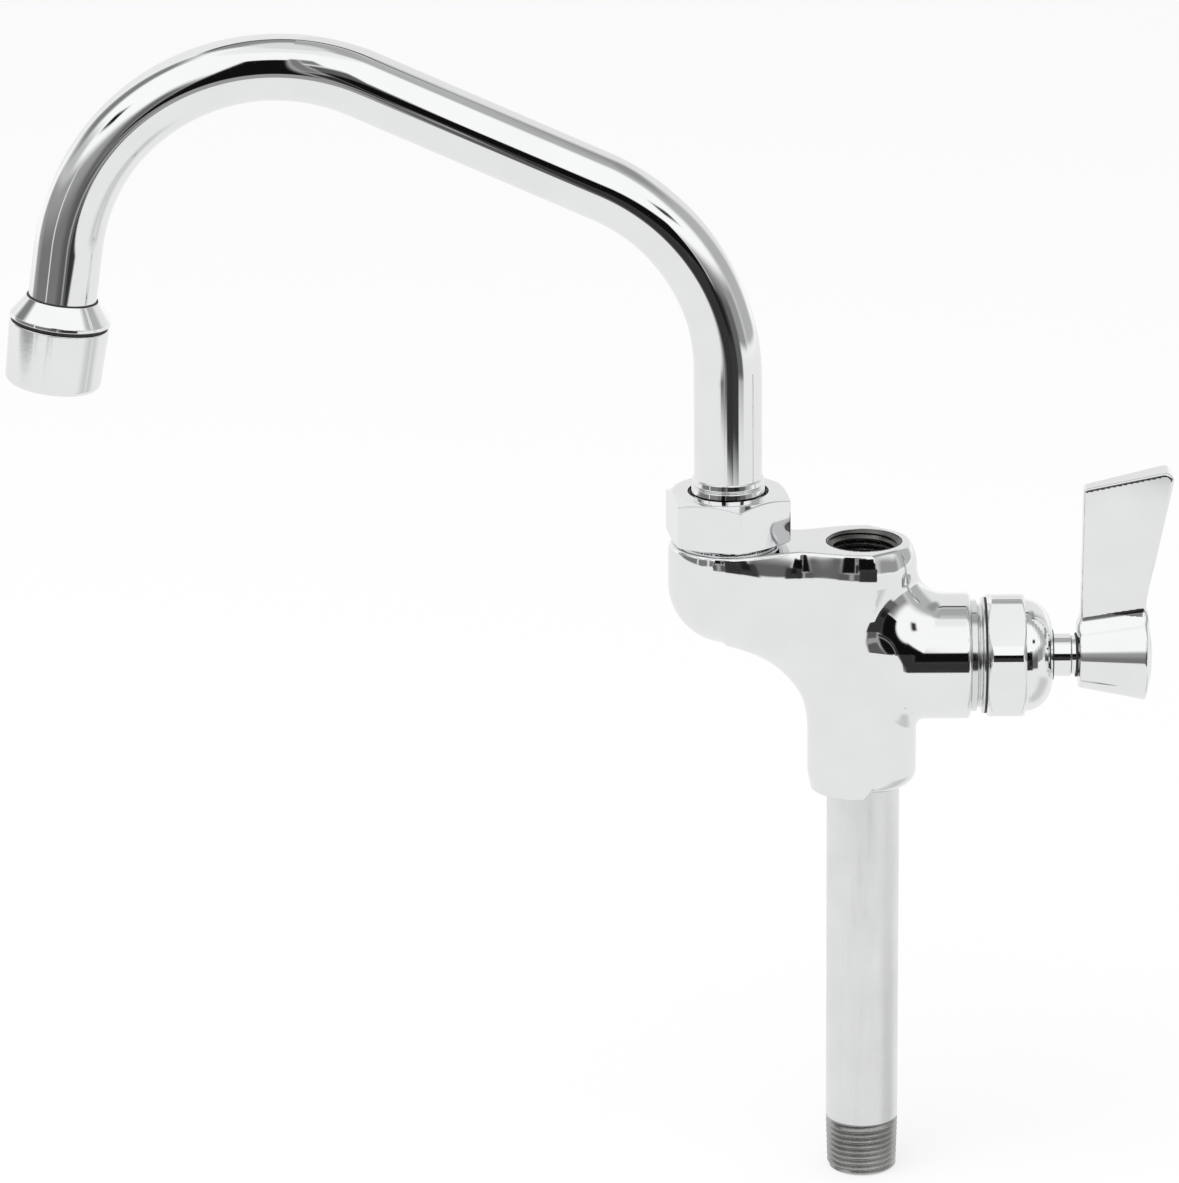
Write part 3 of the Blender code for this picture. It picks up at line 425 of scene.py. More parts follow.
def port_thread():
    """The female pipe thread in the riser port, with its countersink."""
    top, bottom = TOP_Z - 0.05, TOP_Z - PORT_DEPTH
    flare = PORT_CHAMFER_RADIUS - FIT

    def crest(z):
        return np.maximum(PORT_RADIUS, flare - (top - z)) - 0.02

    def depth(z):
        return np.clip(flare + 0.1 - crest(z), 0, 0.75) * np.clip((z - bottom) / 1.5, 0, 1)

    return thread(crest, depth, bottom, top, inside=True)


def nipple():
    """The nipple's tapered thread, which runs out into the plain pipe."""
    def crest(z):
        chamfer = NIPPLE_RADIUS - 1.05 + z * 1.2
        return np.minimum(NIPPLE_RADIUS - np.maximum(0, THREAD_END - z) * PIPE_TAPER, chamfer)

    def depth(z):
        runout = np.clip((THREAD_END + THREAD_RUNOUT - z) / 1.4, 0, 1)
        return PIPE_THREAD_DEPTH * runout * np.clip((z - 0.1) / 0.9, 0, 1)

    return thread(crest, depth, 0, THREAD_END + THREAD_RUNOUT)


def nipple_pipe():
    """The plain pipe above the thread, and its bore."""
    pipe = turned([(NIPPLE_BORE, NIPPLE_LENGTH, 0), (NIPPLE_RADIUS, NIPPLE_LENGTH, 0.3),
                   (NIPPLE_RADIUS, THREAD_END + THREAD_RUNOUT, 0)])
    bore = turned([(NIPPLE_RADIUS - 1.05, 0, 0), (NIPPLE_BORE + 0.2, 0, 0.3), (NIPPLE_BORE, 0.6, 0.2),
                   (NIPPLE_BORE, NIPPLE_LENGTH, 0)])
    return joined([pipe, bore])


# ---------------------------------------------------------------- valve and lever

def bonnet():
    """Shank, hexagon and dome in one."""
    bore_end = 23
    shank = turned([(BONNET_SHANK_RADIUS, HEX_BACK, 0), (BONNET_SHANK_RADIUS, BONNET_START, 0.2),
                    (BONNET_BORE, BONNET_START, 0.2), (BONNET_BORE, bore_end, 0), (STEM_BORE, bore_end, 0)])
    head = hexagon(HEX_FLATS, math.pi / 2 - HEX_CORNER_RISE, HEX_BACK, HEX_END, 9, 11, 5, (30, 24))
    across = DOME_RADIUS - DOME_ROUND
    curve = [(across + DOME_ROUND * math.sin(t), HEX_END + (DOME_END - HEX_END) * math.cos(t), 0.6)
             for t in np.linspace(0.06, math.pi / 2, 16)]
    dome = turned([(STEM_BORE, 30, 0), (STEM_BORE, DOME_END, 0.5), (across, DOME_END, 0.3), *curve,
                   (DOME_RADIUS, HEX_END - 0.4, 0)], steps=2)
    return placed(joined([shank, head, dome]), along_x())


def bonnet_ring():
    """Between the boss and the hexagon: a smooth ring, a groove and a bead."""
    profile = [(11, HEX_BACK, 0), (13.2, HEX_BACK - 0.5, 0), (13.65, HEX_BACK - 0.5, 0.1),
               (13.75, HEX_BACK - 1, 0.3), (12.4, HEX_BACK - 1.2, 0.2), (12, HEX_BACK - 2.1, 0.2),
               (13.1, HEX_BACK - 2.3, 0.2), (13.2, BOSS_END + 0.1, 0.2), (12.2, BOSS_END - 0.3, 0)]
    return placed(turned(profile), along_x())


def shadow_gap_ring(radius, low, high, matrix, width=0.7):
    """A thin closed ring of painted shade. It is black, stands for the shadow in the gap where two parts meet, and
    shows as a fine dark line.
    """
    profile = [(radius - width, high, 0), (radius, high, 0.08), (radius, low, 0.08), (radius - width, low, 0)]
    return placed(turned(profile, closed=True), matrix)


def stem():
    """The round stem between the dome and the hub with its narrow neck, and inside its two grooves and its head."""
    neck, floor, width = 4.6, 3.9, 2
    grooves = []
    for top in (34, 29):
        grooves += [(STEM_RADIUS, top, 0), (floor, top, 0), (floor, top - width, 0), (STEM_RADIUS, top - width, 0)]
    outside = turned([(0, 59.9, 0), (4.2, 59.9, 0.2), (4.2, HUB_START - 0.3, 0), (neck, HUB_START - 0.3, 0.15),
                      (neck, 48.7, 0.2), (STEM_RADIUS, 48.5, 0.3), *grooves, (STEM_RADIUS, 19, 0.2), (8.5, 19, 0.3),
                      (8.5, 9, 0.3), (5.5, 9, 0.2), (5.5, 3.4, 0.2), (3.5, 3.4, 0.2), (3.5, 6.2, 0), (0, 6.2, 0)])
    return placed(outside, along_x())


def blade_outline():
    """Corner points (x, z, round) of the blade. Its outer edge is straight, then curves into the hub."""
    straight_end = np.array((67.8, VALVE_Z + 23))
    root = np.array((65.6, VALVE_Z + 9))
    bow = np.array((66, VALVE_Z + 16))
    curve = [(*((1 - t) ** 2 * straight_end + 2 * t * (1 - t) * bow + t * t * root), 0.05)
             for t in np.linspace(0, 1, 12)]
    corners = [(50.7, VALVE_Z + 6, 0.05), (BLADE_INNER_X, BLADE_INNER_TOP + 0.4, 0.9),
               (BLADE_OUTER_X + 0.35, BLADE_OUTER_TOP + 0.9, 2), *curve, (64, VALVE_Z + 6, 0.05)]
    return np.array([row[:2] for row in rounded_profile(corners, closed=True, steps=5)])[:-1]


def lever_field():
    """Hub and blade in one, less the button's recess and the stem's bore."""
    outline = blade_outline()
    slope = (HUB_BIG_RADIUS - HUB_SMALL_RADIUS) / (HUB_END - HUB_START)
    lean = 1 / math.hypot(1, slope)

    def field(x, y, z):
        r = np.hypot(y, z - VALVE_Z)
        cone = (r - HUB_SMALL_RADIUS - slope * (x - HUB_START)) * lean
        dome = x - HUB_END - HUB_DOME * (1 - (r / HUB_BIG_RADIUS) ** 2)
        hub = round_both(round_both(cone, dome, 0.5), HUB_START - x, 0.4)
        thick = BLADE_THIN + (BLADE_THICK - BLADE_THIN) * (x - BLADE_INNER_X) / (BLADE_OUTER_X - BLADE_INNER_X)
        blade = round_both(outline_distance(x, z, outline), np.abs(y) - thick / 2, 0.7)
        lever = round_union(hub, blade, 2.4)
        lever = round_cut(lever, np.maximum(r - 7.25, 62.3 - x), 0.2)
        return round_cut(lever, r - 4.4, 0.2)

    return field


def lever():
    """The hub's turned side is a little hollow, so its normals lean further than its straight outline."""
    points, faces, normals = surface_net(lever_field(), (49.8, -11.5, 117.5), (74, 11.5, 176), 0.3)
    x, out = points[:, 0], np.hypot(points[:, 1], points[:, 2] - VALVE_Z)
    side = (normals[:, 0] < 0) & (normals[:, 0] > -0.3) & (out < HUB_BIG_RADIUS + 0.5) & (x > HUB_START + 0.3)
    normals[:, 0] -= np.where(side, HUB_HOLLOW, 0)
    return points, faces, unit(normals)


def button():
    """The plain domed cap, which carries on the hub's own dome."""
    def rise(radius):
        return HUB_END + HUB_DOME * (1 - (radius / HUB_BIG_RADIUS) ** 2)

    back = 64.6
    dome = [(radius, rise(radius), 0.4) for radius in (2, 4, 5.5, BUTTON_RADIUS)]
    return placed(turned([(0, rise(0), 0), *dome, (BUTTON_RADIUS, back, 0.2), (0, back, 0)], steps=4), along_x())


# ---------------------------------------------------------------- spout

def spout_nut():
    """The hexagon nut, and its bore, which closes in over the tube's sleeve."""
    bore = NECK_RADIUS + 0.2
    head = hexagon(NUT_FLATS, NUT_TURN, NUT_BOTTOM, NUT_TOP, NUT_HOLE, bore, 0.8, (12, 24))
    inside = turned([(bore, NUT_BOTTOM, 0), (bore, NUT_SHOULDER, 0), (NUT_HOLE, NUT_SHOULDER, 0),
                     (NUT_HOLE, NUT_TOP, 0)])
    return placed(joined([head, inside]), spout_axis())


def spout_path():
    """(out, height, direction, flattening) along the tube's middle, and the point where the nozzle ends."""
    path = [(0, TUBE_START, math.pi / 2, 0), (0, LEG_TOP, math.pi / 2, 0)]

    def bend(center, start, end):
        """Adds an arc, and how far the section is flattened at each point of it."""
        steps = max(8, round(abs(end - start) / math.radians(1.5)))
        for i in range(1, steps + 1):
            angle = start + (end - start) * i / steps
            flat = min(1, 4 * min(i, steps - i) / steps)
            path.append((center[0] + BEND_RADIUS * math.cos(angle), center[1] + BEND_RADIUS * math.sin(angle),
                         angle - math.pi / 2, flat))

    bend((BEND_RADIUS, LEG_TOP), math.pi, math.pi / 2 + SLOPE)
    out, height = path[-1][:2]
    out += SLOPE_LENGTH * math.cos(SLOPE)
    height += SLOPE_LENGTH * math.sin(SLOPE)
    path.append((out, height, SLOPE, 0))
    center = (out + BEND_RADIUS * math.sin(SLOPE), height - BEND_RADIUS * math.cos(SLOPE))
    bend(center, math.pi / 2 + SLOPE, NOZZLE_LEAN)
    out, height = path[-1][:2]
    tip = (out + NOZZLE_LENGTH * math.sin(NOZZLE_LEAN), height - NOZZLE_LENGTH * math.cos(NOZZLE_LEAN))
    inside = 4
    end = (tip[0] + inside * math.sin(NOZZLE_LEAN), tip[1] - inside * math.cos(NOZZLE_LEAN))
    return path + [(*end, NOZZLE_LEAN - math.pi / 2, 0)], tip


def tube():
    """The bent tube. Bending draws its section slightly flat in the plane of the bend."""
    path, _ = spout_path()
    angles = np.arange(AROUND) * 2 * math.pi / AROUND
    c, s = np.cos(angles)[:, None], np.sin(angles)[:, None]
    side = np.array((0, 1.0, 0))
    points, normals = [], []
    for out, height, heading, flat in path:
        across = np.array((math.sin(heading), 0, math.cos(heading)))
        thin = TUBE_RADIUS * (1 - BEND_FLATTENING * flat)
        middle = np.array((SPOUT_X - out, 0, height))
        points.append(middle + across * thin * c + side * TUBE_RADIUS * s)
        normals.append(unit(across * TUBE_RADIUS * c + side * thin * s))
    faces = grid_faces(len(path), AROUND, True)
    return np.concatenate(points), faces[:, ::-1], np.concatenate(normals)


def nozzle_frame():
    """Takes the upright axis onto the nozzle's, with its origin where the adapter starts."""
    _, tip = spout_path()
    return Matrix.Translation((SPOUT_X - tip[0], 0, tip[1])) @ Matrix.Rotation(NOZZLE_LEAN, 4, "Y")


def adapter():
    """The cone on the end of the tube."""
    hole = TUBE_RADIUS + 0.3
    profile = [(hole, -1, 0), (hole, -0.15, 0.1), (CONE_TOP_RADIUS, -0.15, 0.15),
               (CONE_RADIUS - 0.05, 0.9 - GROOVE_TOP, 0.5), (CONE_RADIUS, -GROOVE_TOP, 0.2), (10.6, -GROOVE_TOP, 0),
               (10, -12, 0), (6.5, -12, 0), (6.5, -4.3, 0)]
    return placed(turned(profile), nozzle_frame())


def housing():
    """The cup that screws on the adapter."""
    profile = [(10.3, -GROOVE_BOTTOM, 0), (CONE_RADIUS - 0.1, -GROOVE_BOTTOM, 0.25),
               (OUTLET_RADIUS, 1 - OUTLET, 0.8), (OUTLET_RADIUS - 0.9, -OUTLET, 0.5), (8.5, -OUTLET, 0.4),
               (8.3, 1.1 - OUTLET, 0), (8.9, 1.2 - OUTLET, 0), (8.9, -15, 0), (10.2, -15, 0)]
    return placed(turned(profile), nozzle_frame())


def outlet_mesh():
    """Woven wires across the outlet, each a tube of six sides that waves over and under the others."""
    shapes = []
    pitch, wire, steps, sides = 1.1, 0.16, 41, 6
    ring = np.arange(sides) * math.pi / 3
    for axis in (0, 1):
        for k in range(-7, 8):
            offset = k * pitch
            half = math.sqrt(SCREEN_RADIUS ** 2 - offset ** 2)
            center = np.zeros((steps, sides, 3))
            center[..., axis] = np.linspace(-half, half, steps)[:, None]
            center[..., 1 - axis] = offset
            over = 1 if (k + axis) % 2 else -1
            center[..., 2] = wire * np.cos(math.pi * center[..., axis] / pitch) * over - SCREEN_DEPTH
            away = np.zeros((steps, sides, 3))
            away[..., 1 - axis] = np.cos(ring)
            away[..., 2] = np.sin(ring)
            faces = grid_faces(steps, sides, True)
            shapes.append(((center + wire * away).reshape(-1, 3), faces[:, ::-1] if axis else faces,
                           away.reshape(-1, 3)))
    return placed(joined(shapes), nozzle_frame())


def spout_collar():
    """Two low beads round the tube where it enters the nut."""
    profile = [(TUBE_RADIUS, 173.5, 0), (8.3, 173.4, 0.3), (8.5, 171.9, 0.5), (8.1, 171.7, 0.1), (8.1, 171.5, 0.1),
               (8.5, 171.35, 0.3), (8.7, 170.2, 0.4), (8.6, 168.4, 0)]
    return placed(turned(profile), spout_axis())


# ---------------------------------------------------------------- materials

# Between these values of a noise its colours and polish run from one to the other.
NOISE_LOW, NOISE_HIGH = 0.3, 0.7


def new_material(name):
    material = bpy.data.materials.new(name)
    material.use_nodes = True
    return material, material.node_tree.nodes, material.node_tree.links, material.node_tree.nodes["Principled BSDF"]


def noise(nodes, links, scale, detail=3, stretch=None):
    """A noise in object space. stretch draws it out along an axis."""
    place = nodes.new("ShaderNodeTexCoord").outputs["Object"]
    if stretch:
        mapping = nodes.new("ShaderNodeMapping")
        mapping.inputs["Scale"].default_value = stretch
        links.new(place, mapping.inputs["Vector"])
        place = mapping.outputs["Vector"]
    texture = nodes.new("ShaderNodeTexNoise")
    texture.inputs["Scale"].default_value = scale
    texture.inputs["Detail"].default_value = detail
    links.new(place, texture.inputs["Vector"])
    return texture.outputs["Fac"]


def ranged(nodes, links, value, low, high):
    """A number that runs from low to high with the noise."""
    mapped = nodes.new("ShaderNodeMapRange")
    mapped.inputs["From Min"].default_value = NOISE_LOW
    mapped.inputs["From Max"].default_value = NOISE_HIGH
    mapped.inputs["To Min"].default_value = low
    mapped.inputs["To Max"].default_value = high
    links.new(value, mapped.inputs["Value"])
    return mapped.outputs["Result"]


def blended(nodes, links, value, first, second):
    """A colour that runs from the first to the second with the noise."""
    ramp = nodes.new("ShaderNodeValToRGB")
    for element, position, color in zip(ramp.color_ramp.elements, (NOISE_LOW, NOISE_HIGH), (first, second)):
        element.position = position
        element.color = (*color, 1)
    links.new(value, ramp.inputs["Fac"])
    return ramp.outputs["Color"]


def bumped(nodes, links, shader, height, strength, distance):
    """A fine relief on the shader's normal."""
    bump = nodes.new("ShaderNodeBump")
    bump.inputs["Strength"].default_value = strength
    bump.inputs["Distance"].default_value = distance
    links.new(height, bump.inputs["Height"])
    links.new(bump.outputs["Normal"], shader.inputs["Normal"])


def metal(name, color, darker, rough, grain=900, stretch=None, strength=0.05, distance=0.00005):
    """A metal whose tone, polish and surface vary a little from place to place."""
    material, nodes, links, shader = new_material(name)
    shader.inputs["Metallic"].default_value = 1
    wide = noise(nodes, links, 90)
    fine = noise(nodes, links, grain, stretch=stretch)
    links.new(blended(nodes, links, wide, darker, color), shader.inputs["Base Color"])
    links.new(ranged(nodes, links, fine, *rough), shader.inputs["Roughness"])
    bumped(nodes, links, shader, fine, strength, distance)
    return material


def plain_stuff(name, color, darker, rough, grain=700, strength=0.2):
    """Rubber, plastic or fibre: speckled, with a fine skin."""
    material, nodes, links, shader = new_material(name)
    fine = noise(nodes, links, grain, 6)
    links.new(blended(nodes, links, noise(nodes, links, 250), darker, color), shader.inputs["Base Color"])
    links.new(ranged(nodes, links, fine, *rough), shader.inputs["Roughness"])
    bumped(nodes, links, shader, fine, strength, 0.00008)
    return material


cast_chrome = metal("polished_casting", (0.86, 0.865, 0.87), (0.83, 0.835, 0.84), (0.035, 0.07), 60, strength=0.02,
                    distance=0.0002)
turned_chrome = metal("polished_turning", (0.87, 0.875, 0.88), (0.84, 0.845, 0.85), (0.03, 0.07), 900)
tube_chrome = metal("polished_tube", (0.87, 0.875, 0.88), (0.84, 0.845, 0.85), (0.025, 0.06), 300,
                    stretch=(1, 1, 0.2), strength=0.02)
satin_chrome = metal("satin_pipe", (0.82, 0.825, 0.83), (0.76, 0.765, 0.77), (0.2, 0.3), 500, stretch=(1, 1, 0.1),
                     strength=0.1)
ground_metal = metal("ground_ring", (0.78, 0.785, 0.79), (0.7, 0.705, 0.71), (0.1, 0.16), 900, strength=0.03)
thread_metal = metal("cut_thread", (0.5, 0.5, 0.49), (0.3, 0.3, 0.29), (0.2, 0.4), 1500, strength=0.3)
port_metal = metal("port_thread", (0.2, 0.2, 0.195), (0.08, 0.08, 0.078), (0.2, 0.4), 1500, strength=0.3)
machined_brass = metal("turned_brass", (0.75, 0.57, 0.28), (0.66, 0.49, 0.22), (0.22, 0.36), 1200)
stainless = metal("plain_steel", (0.64, 0.64, 0.63), (0.55, 0.55, 0.54), (0.2, 0.34), 1200)
# Real rubber for the washers and O-rings. The same black is also painted shade on the rings in the gaps between
# parts.
rubber_and_gap_shade = plain_stuff("soft_rubber_and_gap_shade", (0.025, 0.025, 0.025), (0.015, 0.015, 0.015), (0.5, 0.7))
white_plastic = plain_stuff("moulded_plastic", (0.86, 0.85, 0.8), (0.8, 0.79, 0.73), (0.35, 0.5))
red_fibre = plain_stuff("pressed_fibre", (0.48, 0.21, 0.12), (0.38, 0.15, 0.08), (0.7, 0.9))


# ---------------------------------------------------------------- pieces

def piece(name, shape, material, body, node):
    """Makes a piece that stands for a CAD node and rides on its body."""
    thing = add_mesh(name, *shape, material=material) if len(shape) == 3 else welded(name, *shape, material)
    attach(thing, body)
    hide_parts(node)


piece("cast_body", body_shape(), cast_chrome, "root", "faucet_body")
piece("port_lining", port_thread(), port_metal, "root", "faucet_body")
piece("pipe_thread", nipple(), thread_metal, "root", "inlet_nipple")
piece("pipe", nipple_pipe(), satin_chrome, "root", "inlet_nipple")
piece("bonnet_head", bonnet(), turned_chrome, "root", "bonnet")
piece("bonnet_ring", bonnet_ring(), ground_metal, "root", "bonnet")
# Painted shade: thin black rings where two parts meet, in place of the shadow in the gaps between them.
for name, body, node, shape in (
        ("hex_gap_shade", "root", "bonnet", shadow_gap_ring(13.65, HEX_BACK - 0.55, HEX_BACK, along_x())),
        ("dome_gap_shade", "root", "bonnet", shadow_gap_ring(5.95, DOME_END - 0.1, DOME_END + 0.3, along_x())),
        ("hub_gap_shade", "handle", "valve_stem", shadow_gap_ring(5.2, HUB_START - 0.75, HUB_START - 0.15, along_x())),
        ("nut_gap_shade", "root", "spout_nut", shadow_gap_ring(9.5, 168.9, 169.1, spout_axis())),
        ("tube_gap_shade", "spout", "aerator_adapter", shadow_gap_ring(TUBE_RADIUS + 0.3, -0.3, 0.1, nozzle_frame(), 0.35)),
        ("cup_gap_shade", "spout", "aerator_adapter", shadow_gap_ring(11.2, -GROOVE_BOTTOM, -GROOVE_TOP, nozzle_frame()))):
    piece(name, shape, rubber_and_gap_shade, body, node)
piece("stem", stem(), turned_chrome, "handle", "valve_stem")
piece("lever", lever(), cast_chrome, "handle", "lever_handle")
piece("button", button(), turned_chrome, "handle", "index_button")
piece("swivel_nut", spout_nut(), turned_chrome, "root", "spout_nut")
piece("bent_tube", tube(), tube_chrome, "spout", "spout_tube")
piece("tube_collar", spout_collar(), turned_chrome, "spout", "spout_tube")
piece("nozzle_cone", adapter(), turned_chrome, "spout", "aerator_adapter")
piece("nozzle_cup", housing(), turned_chrome, "spout", "aerator_housing")
piece("outlet_weave", outlet_mesh(), stainless, "spout", "aerator_screen")

# CAD nodes that stay as they are and only get their material.
KEPT = {machined_brass: ("valve_seat", "washer_holder", "spout_sleeve"),
        stainless: ("washer_screw", "handle_screw"),
        rubber_and_gap_shade: ("seat_washer", "stem_oring_inner", "stem_oring_outer", "spout_oring_lower",
                       "spout_oring_upper", "aerator_gasket"),
        white_plastic: ("spout_glide_washer", "aerator_core"),
        red_fibre: ("bonnet_gasket",)}
for material, names in KEPT.items():
    for name in names:
        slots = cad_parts[name].data.materials
        slots.clear()
        slots.append(material)


# ---------------------------------------------------------------- studio

FLOOR_REACH, FLOOR_Z, FLOOR_WHITE_SHARE = 6000, -0.05, 0.7
WORLD_SEEN, WORLD_LIGHT = 1, 0.8
# The tones of the light table and of the room above it, and the elevation where they meet, with its softness.
TABLE_TONE, ROOM_TONE, HORIZON, HORIZON_SOFTNESS = 228, 247, -10, 4
# How much of the light polished chrome gives back.
CHROME_SHARE = 0.86
CAMERA_PITCH, CAMERA_AZIMUTH, CAMERA_ROLL = math.radians(18), math.radians(0.77), math.radians(-0.54)
CAMERA_TARGET, CAMERA_DISTANCE = Vector((-0.0643, 0, 0.1454)), 1.5
PHOTO_HEIGHT, FOCAL_LENGTH_IN_PIXELS, SENSOR = 1183, 6397, 36


def studio_floor():
    """Pale paper that keeps the object's shadow. To the camera it is nearly white."""
    corners = [(x * FLOOR_REACH, y * FLOOR_REACH, FLOOR_Z) for x, y in ((-1, -1), (1, -1), (1, 1), (-1, 1))]
    thing = add_mesh("floor", corners, [(0, 1, 2, 3)])
    material, nodes, links, shader = new_material("floor_paper")
    shader.inputs["Base Color"].default_value = (0.93, 0.93, 0.93, 1)
    shader.inputs["Roughness"].default_value = 1
    shader.inputs["Specular IOR Level"].default_value = 0
    glow = nodes.new("ShaderNodeEmission")
    share = nodes.new("ShaderNodeMath")
    share.operation = "MULTIPLY"
    share.inputs[1].default_value = FLOOR_WHITE_SHARE
    links.new(nodes.new("ShaderNodeLightPath").outputs["Is Camera Ray"], share.inputs[0])
    mix = nodes.new("ShaderNodeMixShader")
    links.new(share.outputs[0], mix.inputs[0])
    links.new(shader.outputs[0], mix.inputs[1])
    links.new(glow.outputs[0], mix.inputs[2])
    links.new(mix.outputs[0], nodes["Material Output"].inputs["Surface"])
    thing.data.materials.append(material)
    thing.visible_glossy = False


def light_of(tone):
    """The light that polished chrome shows as this tone, from 0 to 255, by the standard display curve."""
    value = tone / 255
    return (value / 12.92 if value < 0.04 else ((value + 0.055) / 1.055) ** 2.4) / CHROME_SHARE


# What the metal reflects, seen from the middle of the spout, in degrees: azimuths from the front towards +X,
# elevations, tone, softness (across, lower edge, upper edge), and the lean of the lower and the upper edge.
SURROUNDINGS = (
    ("ceiling", (-400, 400), (76, 200), 216, (1, 5, 5), (0, 0)),
    ("upper_front", (-100, 80), (67, 80), 234, (20, 4, 4), (0, 0)),
    ("behind_left", (-200, -128), (0, 54), 230, (8, 8, 3), (0, 0)),
    ("behind_right", (126, 200), (0, 58), 224, (8, 8, 3), (0, 0)),
    ("behind_high_left", (-200, -118), (57, 74), 140, (10, 4, 6), (0, 0)),
    ("behind_high_right", (78, 200), (60, 79), 165, (12, 4, 4), (0, 0)),
    ("line_behind_left", (-200, -128), (54.5, 59), 75, (6, 1, 1), (0, 0)),
    ("line_behind_right", (128, 200), (54.5, 59), 75, (6, 1, 1), (0, 0)),
    ("table_right", (70, 112), (-70, -30), 198, (14, 6, 3), (0, 0)),
    ("room_left", (-113, -18), (-18.2, 13), 150, (5, 1.2, 6), (0.075, 0)),
    ("room_left_low", (-98, -18), (-18.2, -1), 116, (8, 1.2, 7), (0.075, 0)),
    ("room_left_high", (-112, -74), (10, 26), 185, (7, 5, 6), (0, 0)),
    ("room_slit", (-58.5, -55.5), (-20, 10), 225, (1.2, 1, 5), (0.075, 0)),
    ("gap_left", (-122, -96), (18, 58), 125, (7, 7, 7), (0, 0)),
    ("gap_right", (80, 126), (-8.5, 66), 174, (9, 1.5, 5), (0, 0)),
    ("gap_right_dark", (98, 140), (38, 56), 145, (9, 6, 5), (0, 0)),
    ("room_right", (33, 80), (-9.5, 10), 145, (5, 1.5, 6), (0, 0)),
    ("room_right_low", (36, 57), (-18, 2), 95, (3, 2, 5), (0, 0)),
    ("stand_side", (-27, -16), (-19, 18), 98, (5, 1, 8), (0, 0)),
    ("stand", (-17, -3.2), (-8.5, 41.5), 16, (1.3, 2, 1.5), (0, 0)),
    ("stand_foot", (-20, 2), (-20, -9), 88, (2, 1, 1.5), (0, 0)),
    ("foot_light", (-9.5, -4.5), (-20, -8), 150, (1, 2, 2), (0, 0)),
    ("slit", (-3.2, 0), (7, 45), 120, (0.8, 3, 3), (0, 0)),
    ("slit_low", (-3.2, 0.5), (-9, 7), 42, (0.8, 3, 3), (0, 0)),
    ("shade_top", (0, 5.5), (33, 45), 120, (1, 2, 3), (0, 0)),
    ("shade", (0, 10.5), (13, 30), 88, (1.2, 1.5, 4), (0, 0)),
    ("block", (0, 33), (-5, 14.5), 14, (1, 3, 1.5), (0, 0)),
    ("block_low", (1, 40), (-20.5, -2), 55, (1.5, 1, 2), (0, 0)),
    ("wedge", (3, 19), (-60, -19.3), 228, (1, 1, 1.5), (0, -0.72)),
    ("block_middle", (2, 22), (-21, -5), 50, (1, 0.6, 1), (0, 0)),
    ("block_right", (24, 34), (-12, -3), 30, (2, 2, 2), (0, 0)),
    ("lamp_left", (-68, -56), (24, 31), 20, (2, 2, 2), (0, 0)),
    ("lamp_right", (45, 57), (25, 31), 50, (2.5, 2, 2), (0, 0)),
)
SURROUND_RADIUS, SURROUND_CENTER = 800, (-0.1, 0, 0.24)


def surround():
    """A sphere that only reflections see: a studio with a light table below and a darker room round it."""
    rows, columns = 49, 96
    up = np.linspace(-math.pi / 2, math.pi / 2, rows)[:, None]
    turn = np.arange(columns)[None] * 2 * math.pi / columns
    points = np.stack([np.cos(up) * np.cos(turn), np.cos(up) * np.sin(turn), np.sin(up) + 0 * turn], -1)
    material, nodes, links, shader = new_material("surround")
    nodes.remove(shader)

    def math_node(operation, *values):
        node = nodes.new("ShaderNodeMath")
        node.operation = operation
        for socket, value in zip(node.inputs, values):
            if isinstance(value, (int, float)):
                socket.default_value = value
            else:
                links.new(value, socket)
        return node.outputs[0]

    def step(value, middle, soft):
        """0 below the middle and 1 above it, with a soft change."""
        node = nodes.new("ShaderNodeMapRange")
        node.interpolation_type = "SMOOTHSTEP"
        node.inputs["From Min"].default_value = middle - soft
        node.inputs["From Max"].default_value = middle + soft
        links.new(value, node.inputs["Value"])
        return node.outputs["Result"]

    def leaning(lean):
        """The elevation, with an edge that rises or falls with the azimuth."""
        return math_node("ADD", elevation, math_node("MULTIPLY", azimuth, lean)) if lean else elevation

    direction = nodes.new("ShaderNodeVectorMath")
    direction.operation = "NORMALIZE"
    links.new(nodes.new("ShaderNodeTexCoord").outputs["Object"], direction.inputs[0])
    split = nodes.new("ShaderNodeSeparateXYZ")
    links.new(direction.outputs[0], split.inputs[0])
    x, y, z = split.outputs
    azimuth = math_node("MULTIPLY", math_node("ARCTAN2", x, math_node("MULTIPLY", y, -1)), 180 / math.pi)
    elevation = math_node("MULTIPLY", math_node("ARCSINE", z), 180 / math.pi)
    low, high = light_of(TABLE_TONE), light_of(ROOM_TONE)
    shade = math_node("ADD", low, math_node("MULTIPLY", step(elevation, HORIZON, HORIZON_SOFTNESS), high - low))
    for _, across, upward, tone, soft, lean in SURROUNDINGS:
        sides = math_node("SUBTRACT", step(azimuth, across[0], soft[0]), step(azimuth, across[1], soft[0]))
        lower = step(leaning(lean[0]), upward[0], soft[1])
        upper = math_node("SUBTRACT", 1, step(leaning(lean[1]), upward[1], soft[2]))
        mask = math_node("MULTIPLY", sides, math_node("MULTIPLY", lower, upper))
        shade = math_node("ADD", shade, math_node("MULTIPLY", mask, math_node("SUBTRACT", light_of(tone), shade)))
    glow = nodes.new("ShaderNodeEmission")
    links.new(shade, glow.inputs["Strength"])
    links.new(glow.outputs[0], nodes["Material Output"].inputs["Surface"])
    material.cycles.emission_sampling = "NONE"
    thing = add_mesh("surround", points.reshape(-1, 3) * SURROUND_RADIUS, grid_faces(rows, columns, True),
                     material=material)
    thing.location = SURROUND_CENTER
    thing.visible_camera = thing.visible_diffuse = thing.visible_transmission = thing.visible_shadow = False


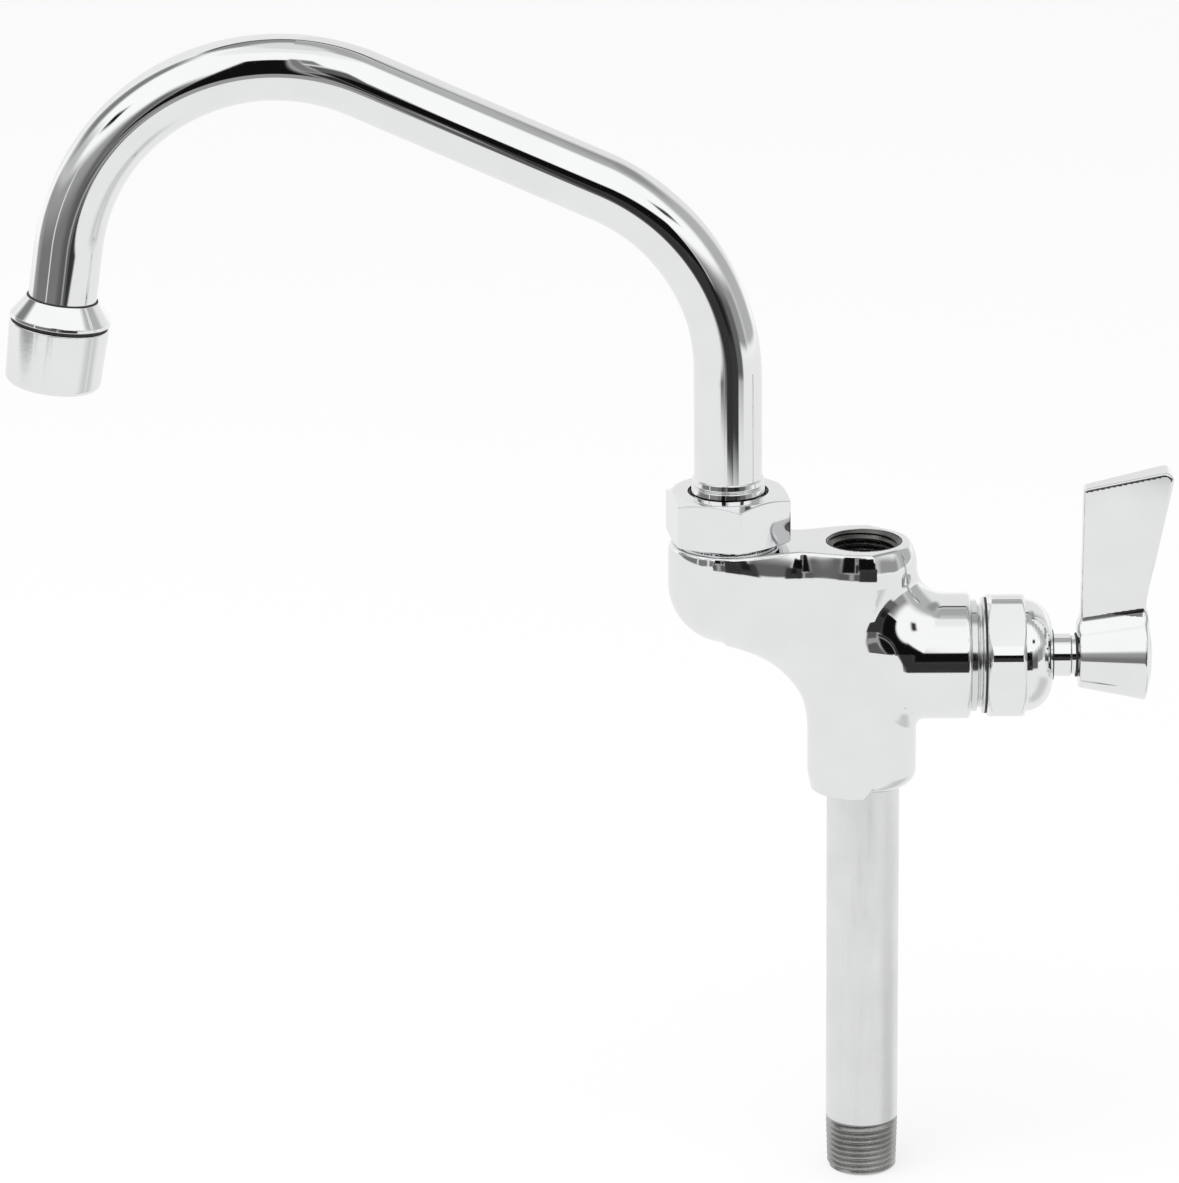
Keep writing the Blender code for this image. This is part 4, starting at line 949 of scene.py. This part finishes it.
def studio_world():
    """White for the camera and for glass, even light for the rest."""
    world = bpy.data.worlds.new("studio")
    bpy.context.scene.world = world
    world.use_nodes = True
    nodes, links = world.node_tree.nodes, world.node_tree.links
    path = nodes.new("ShaderNodeLightPath")
    seen = nodes.new("ShaderNodeMath")
    seen.operation = "MAXIMUM"
    links.new(path.outputs["Is Camera Ray"], seen.inputs[0])
    glass = nodes.new("ShaderNodeMath")
    glass.operation = "MAXIMUM"
    links.new(path.outputs["Is Glossy Ray"], glass.inputs[0])
    links.new(path.outputs["Is Transmission Ray"], glass.inputs[1])
    links.new(glass.outputs[0], seen.inputs[1])
    level = nodes.new("ShaderNodeMath")
    level.operation = "MULTIPLY_ADD"
    level.inputs[1].default_value = WORLD_SEEN - WORLD_LIGHT
    level.inputs[2].default_value = WORLD_LIGHT
    links.new(seen.outputs[0], level.inputs[0])
    nodes["Background"].inputs["Color"].default_value = (1, 1, 1, 1)
    links.new(level.outputs[0], nodes["Background"].inputs["Strength"])


def lamp(name, place, target, size, power):
    """A square lamp that looks at its target."""
    light = bpy.data.lights.new(name, "AREA")
    light.size = size
    light.energy = power
    thing = bpy.data.objects.new(name, light)
    bpy.context.scene.collection.objects.link(thing)
    thing.location = place
    thing.rotation_euler = (Vector(target) - Vector(place)).to_track_quat("-Z", "Y").to_euler()
    return thing


def studio_camera():
    """The photograph's camera, slightly from the right, looking down and rolled a little."""
    data = bpy.data.cameras.new("camera")
    data.sensor_fit = "VERTICAL"
    data.sensor_height = SENSOR
    data.lens = SENSOR * FOCAL_LENGTH_IN_PIXELS / PHOTO_HEIGHT
    camera = bpy.data.objects.new("camera", data)
    bpy.context.scene.collection.objects.link(camera)
    level = math.cos(CAMERA_PITCH)
    ahead = Vector((-math.sin(CAMERA_AZIMUTH) * level, math.cos(CAMERA_AZIMUTH) * level, -math.sin(CAMERA_PITCH)))
    right = Vector((math.cos(CAMERA_AZIMUTH), math.sin(CAMERA_AZIMUTH), 0))
    up = right.cross(ahead)
    turned_right = right * math.cos(CAMERA_ROLL) + up * math.sin(CAMERA_ROLL)
    turned_up = up * math.cos(CAMERA_ROLL) - right * math.sin(CAMERA_ROLL)
    turn = Matrix((turned_right, turned_up, -ahead)).transposed().to_4x4()
    camera.matrix_world = Matrix.Translation(CAMERA_TARGET - CAMERA_DISTANCE * ahead) @ turn
    bpy.context.scene.camera = camera


studio_floor()
surround()
studio_world()
studio_camera()
lamp("overhead", (-0.4, -0.5, 1.6), (-0.05, 0, 0.1), 1.2, 12).visible_glossy = False

bpy.context.scene.view_settings.view_transform = "Standard"
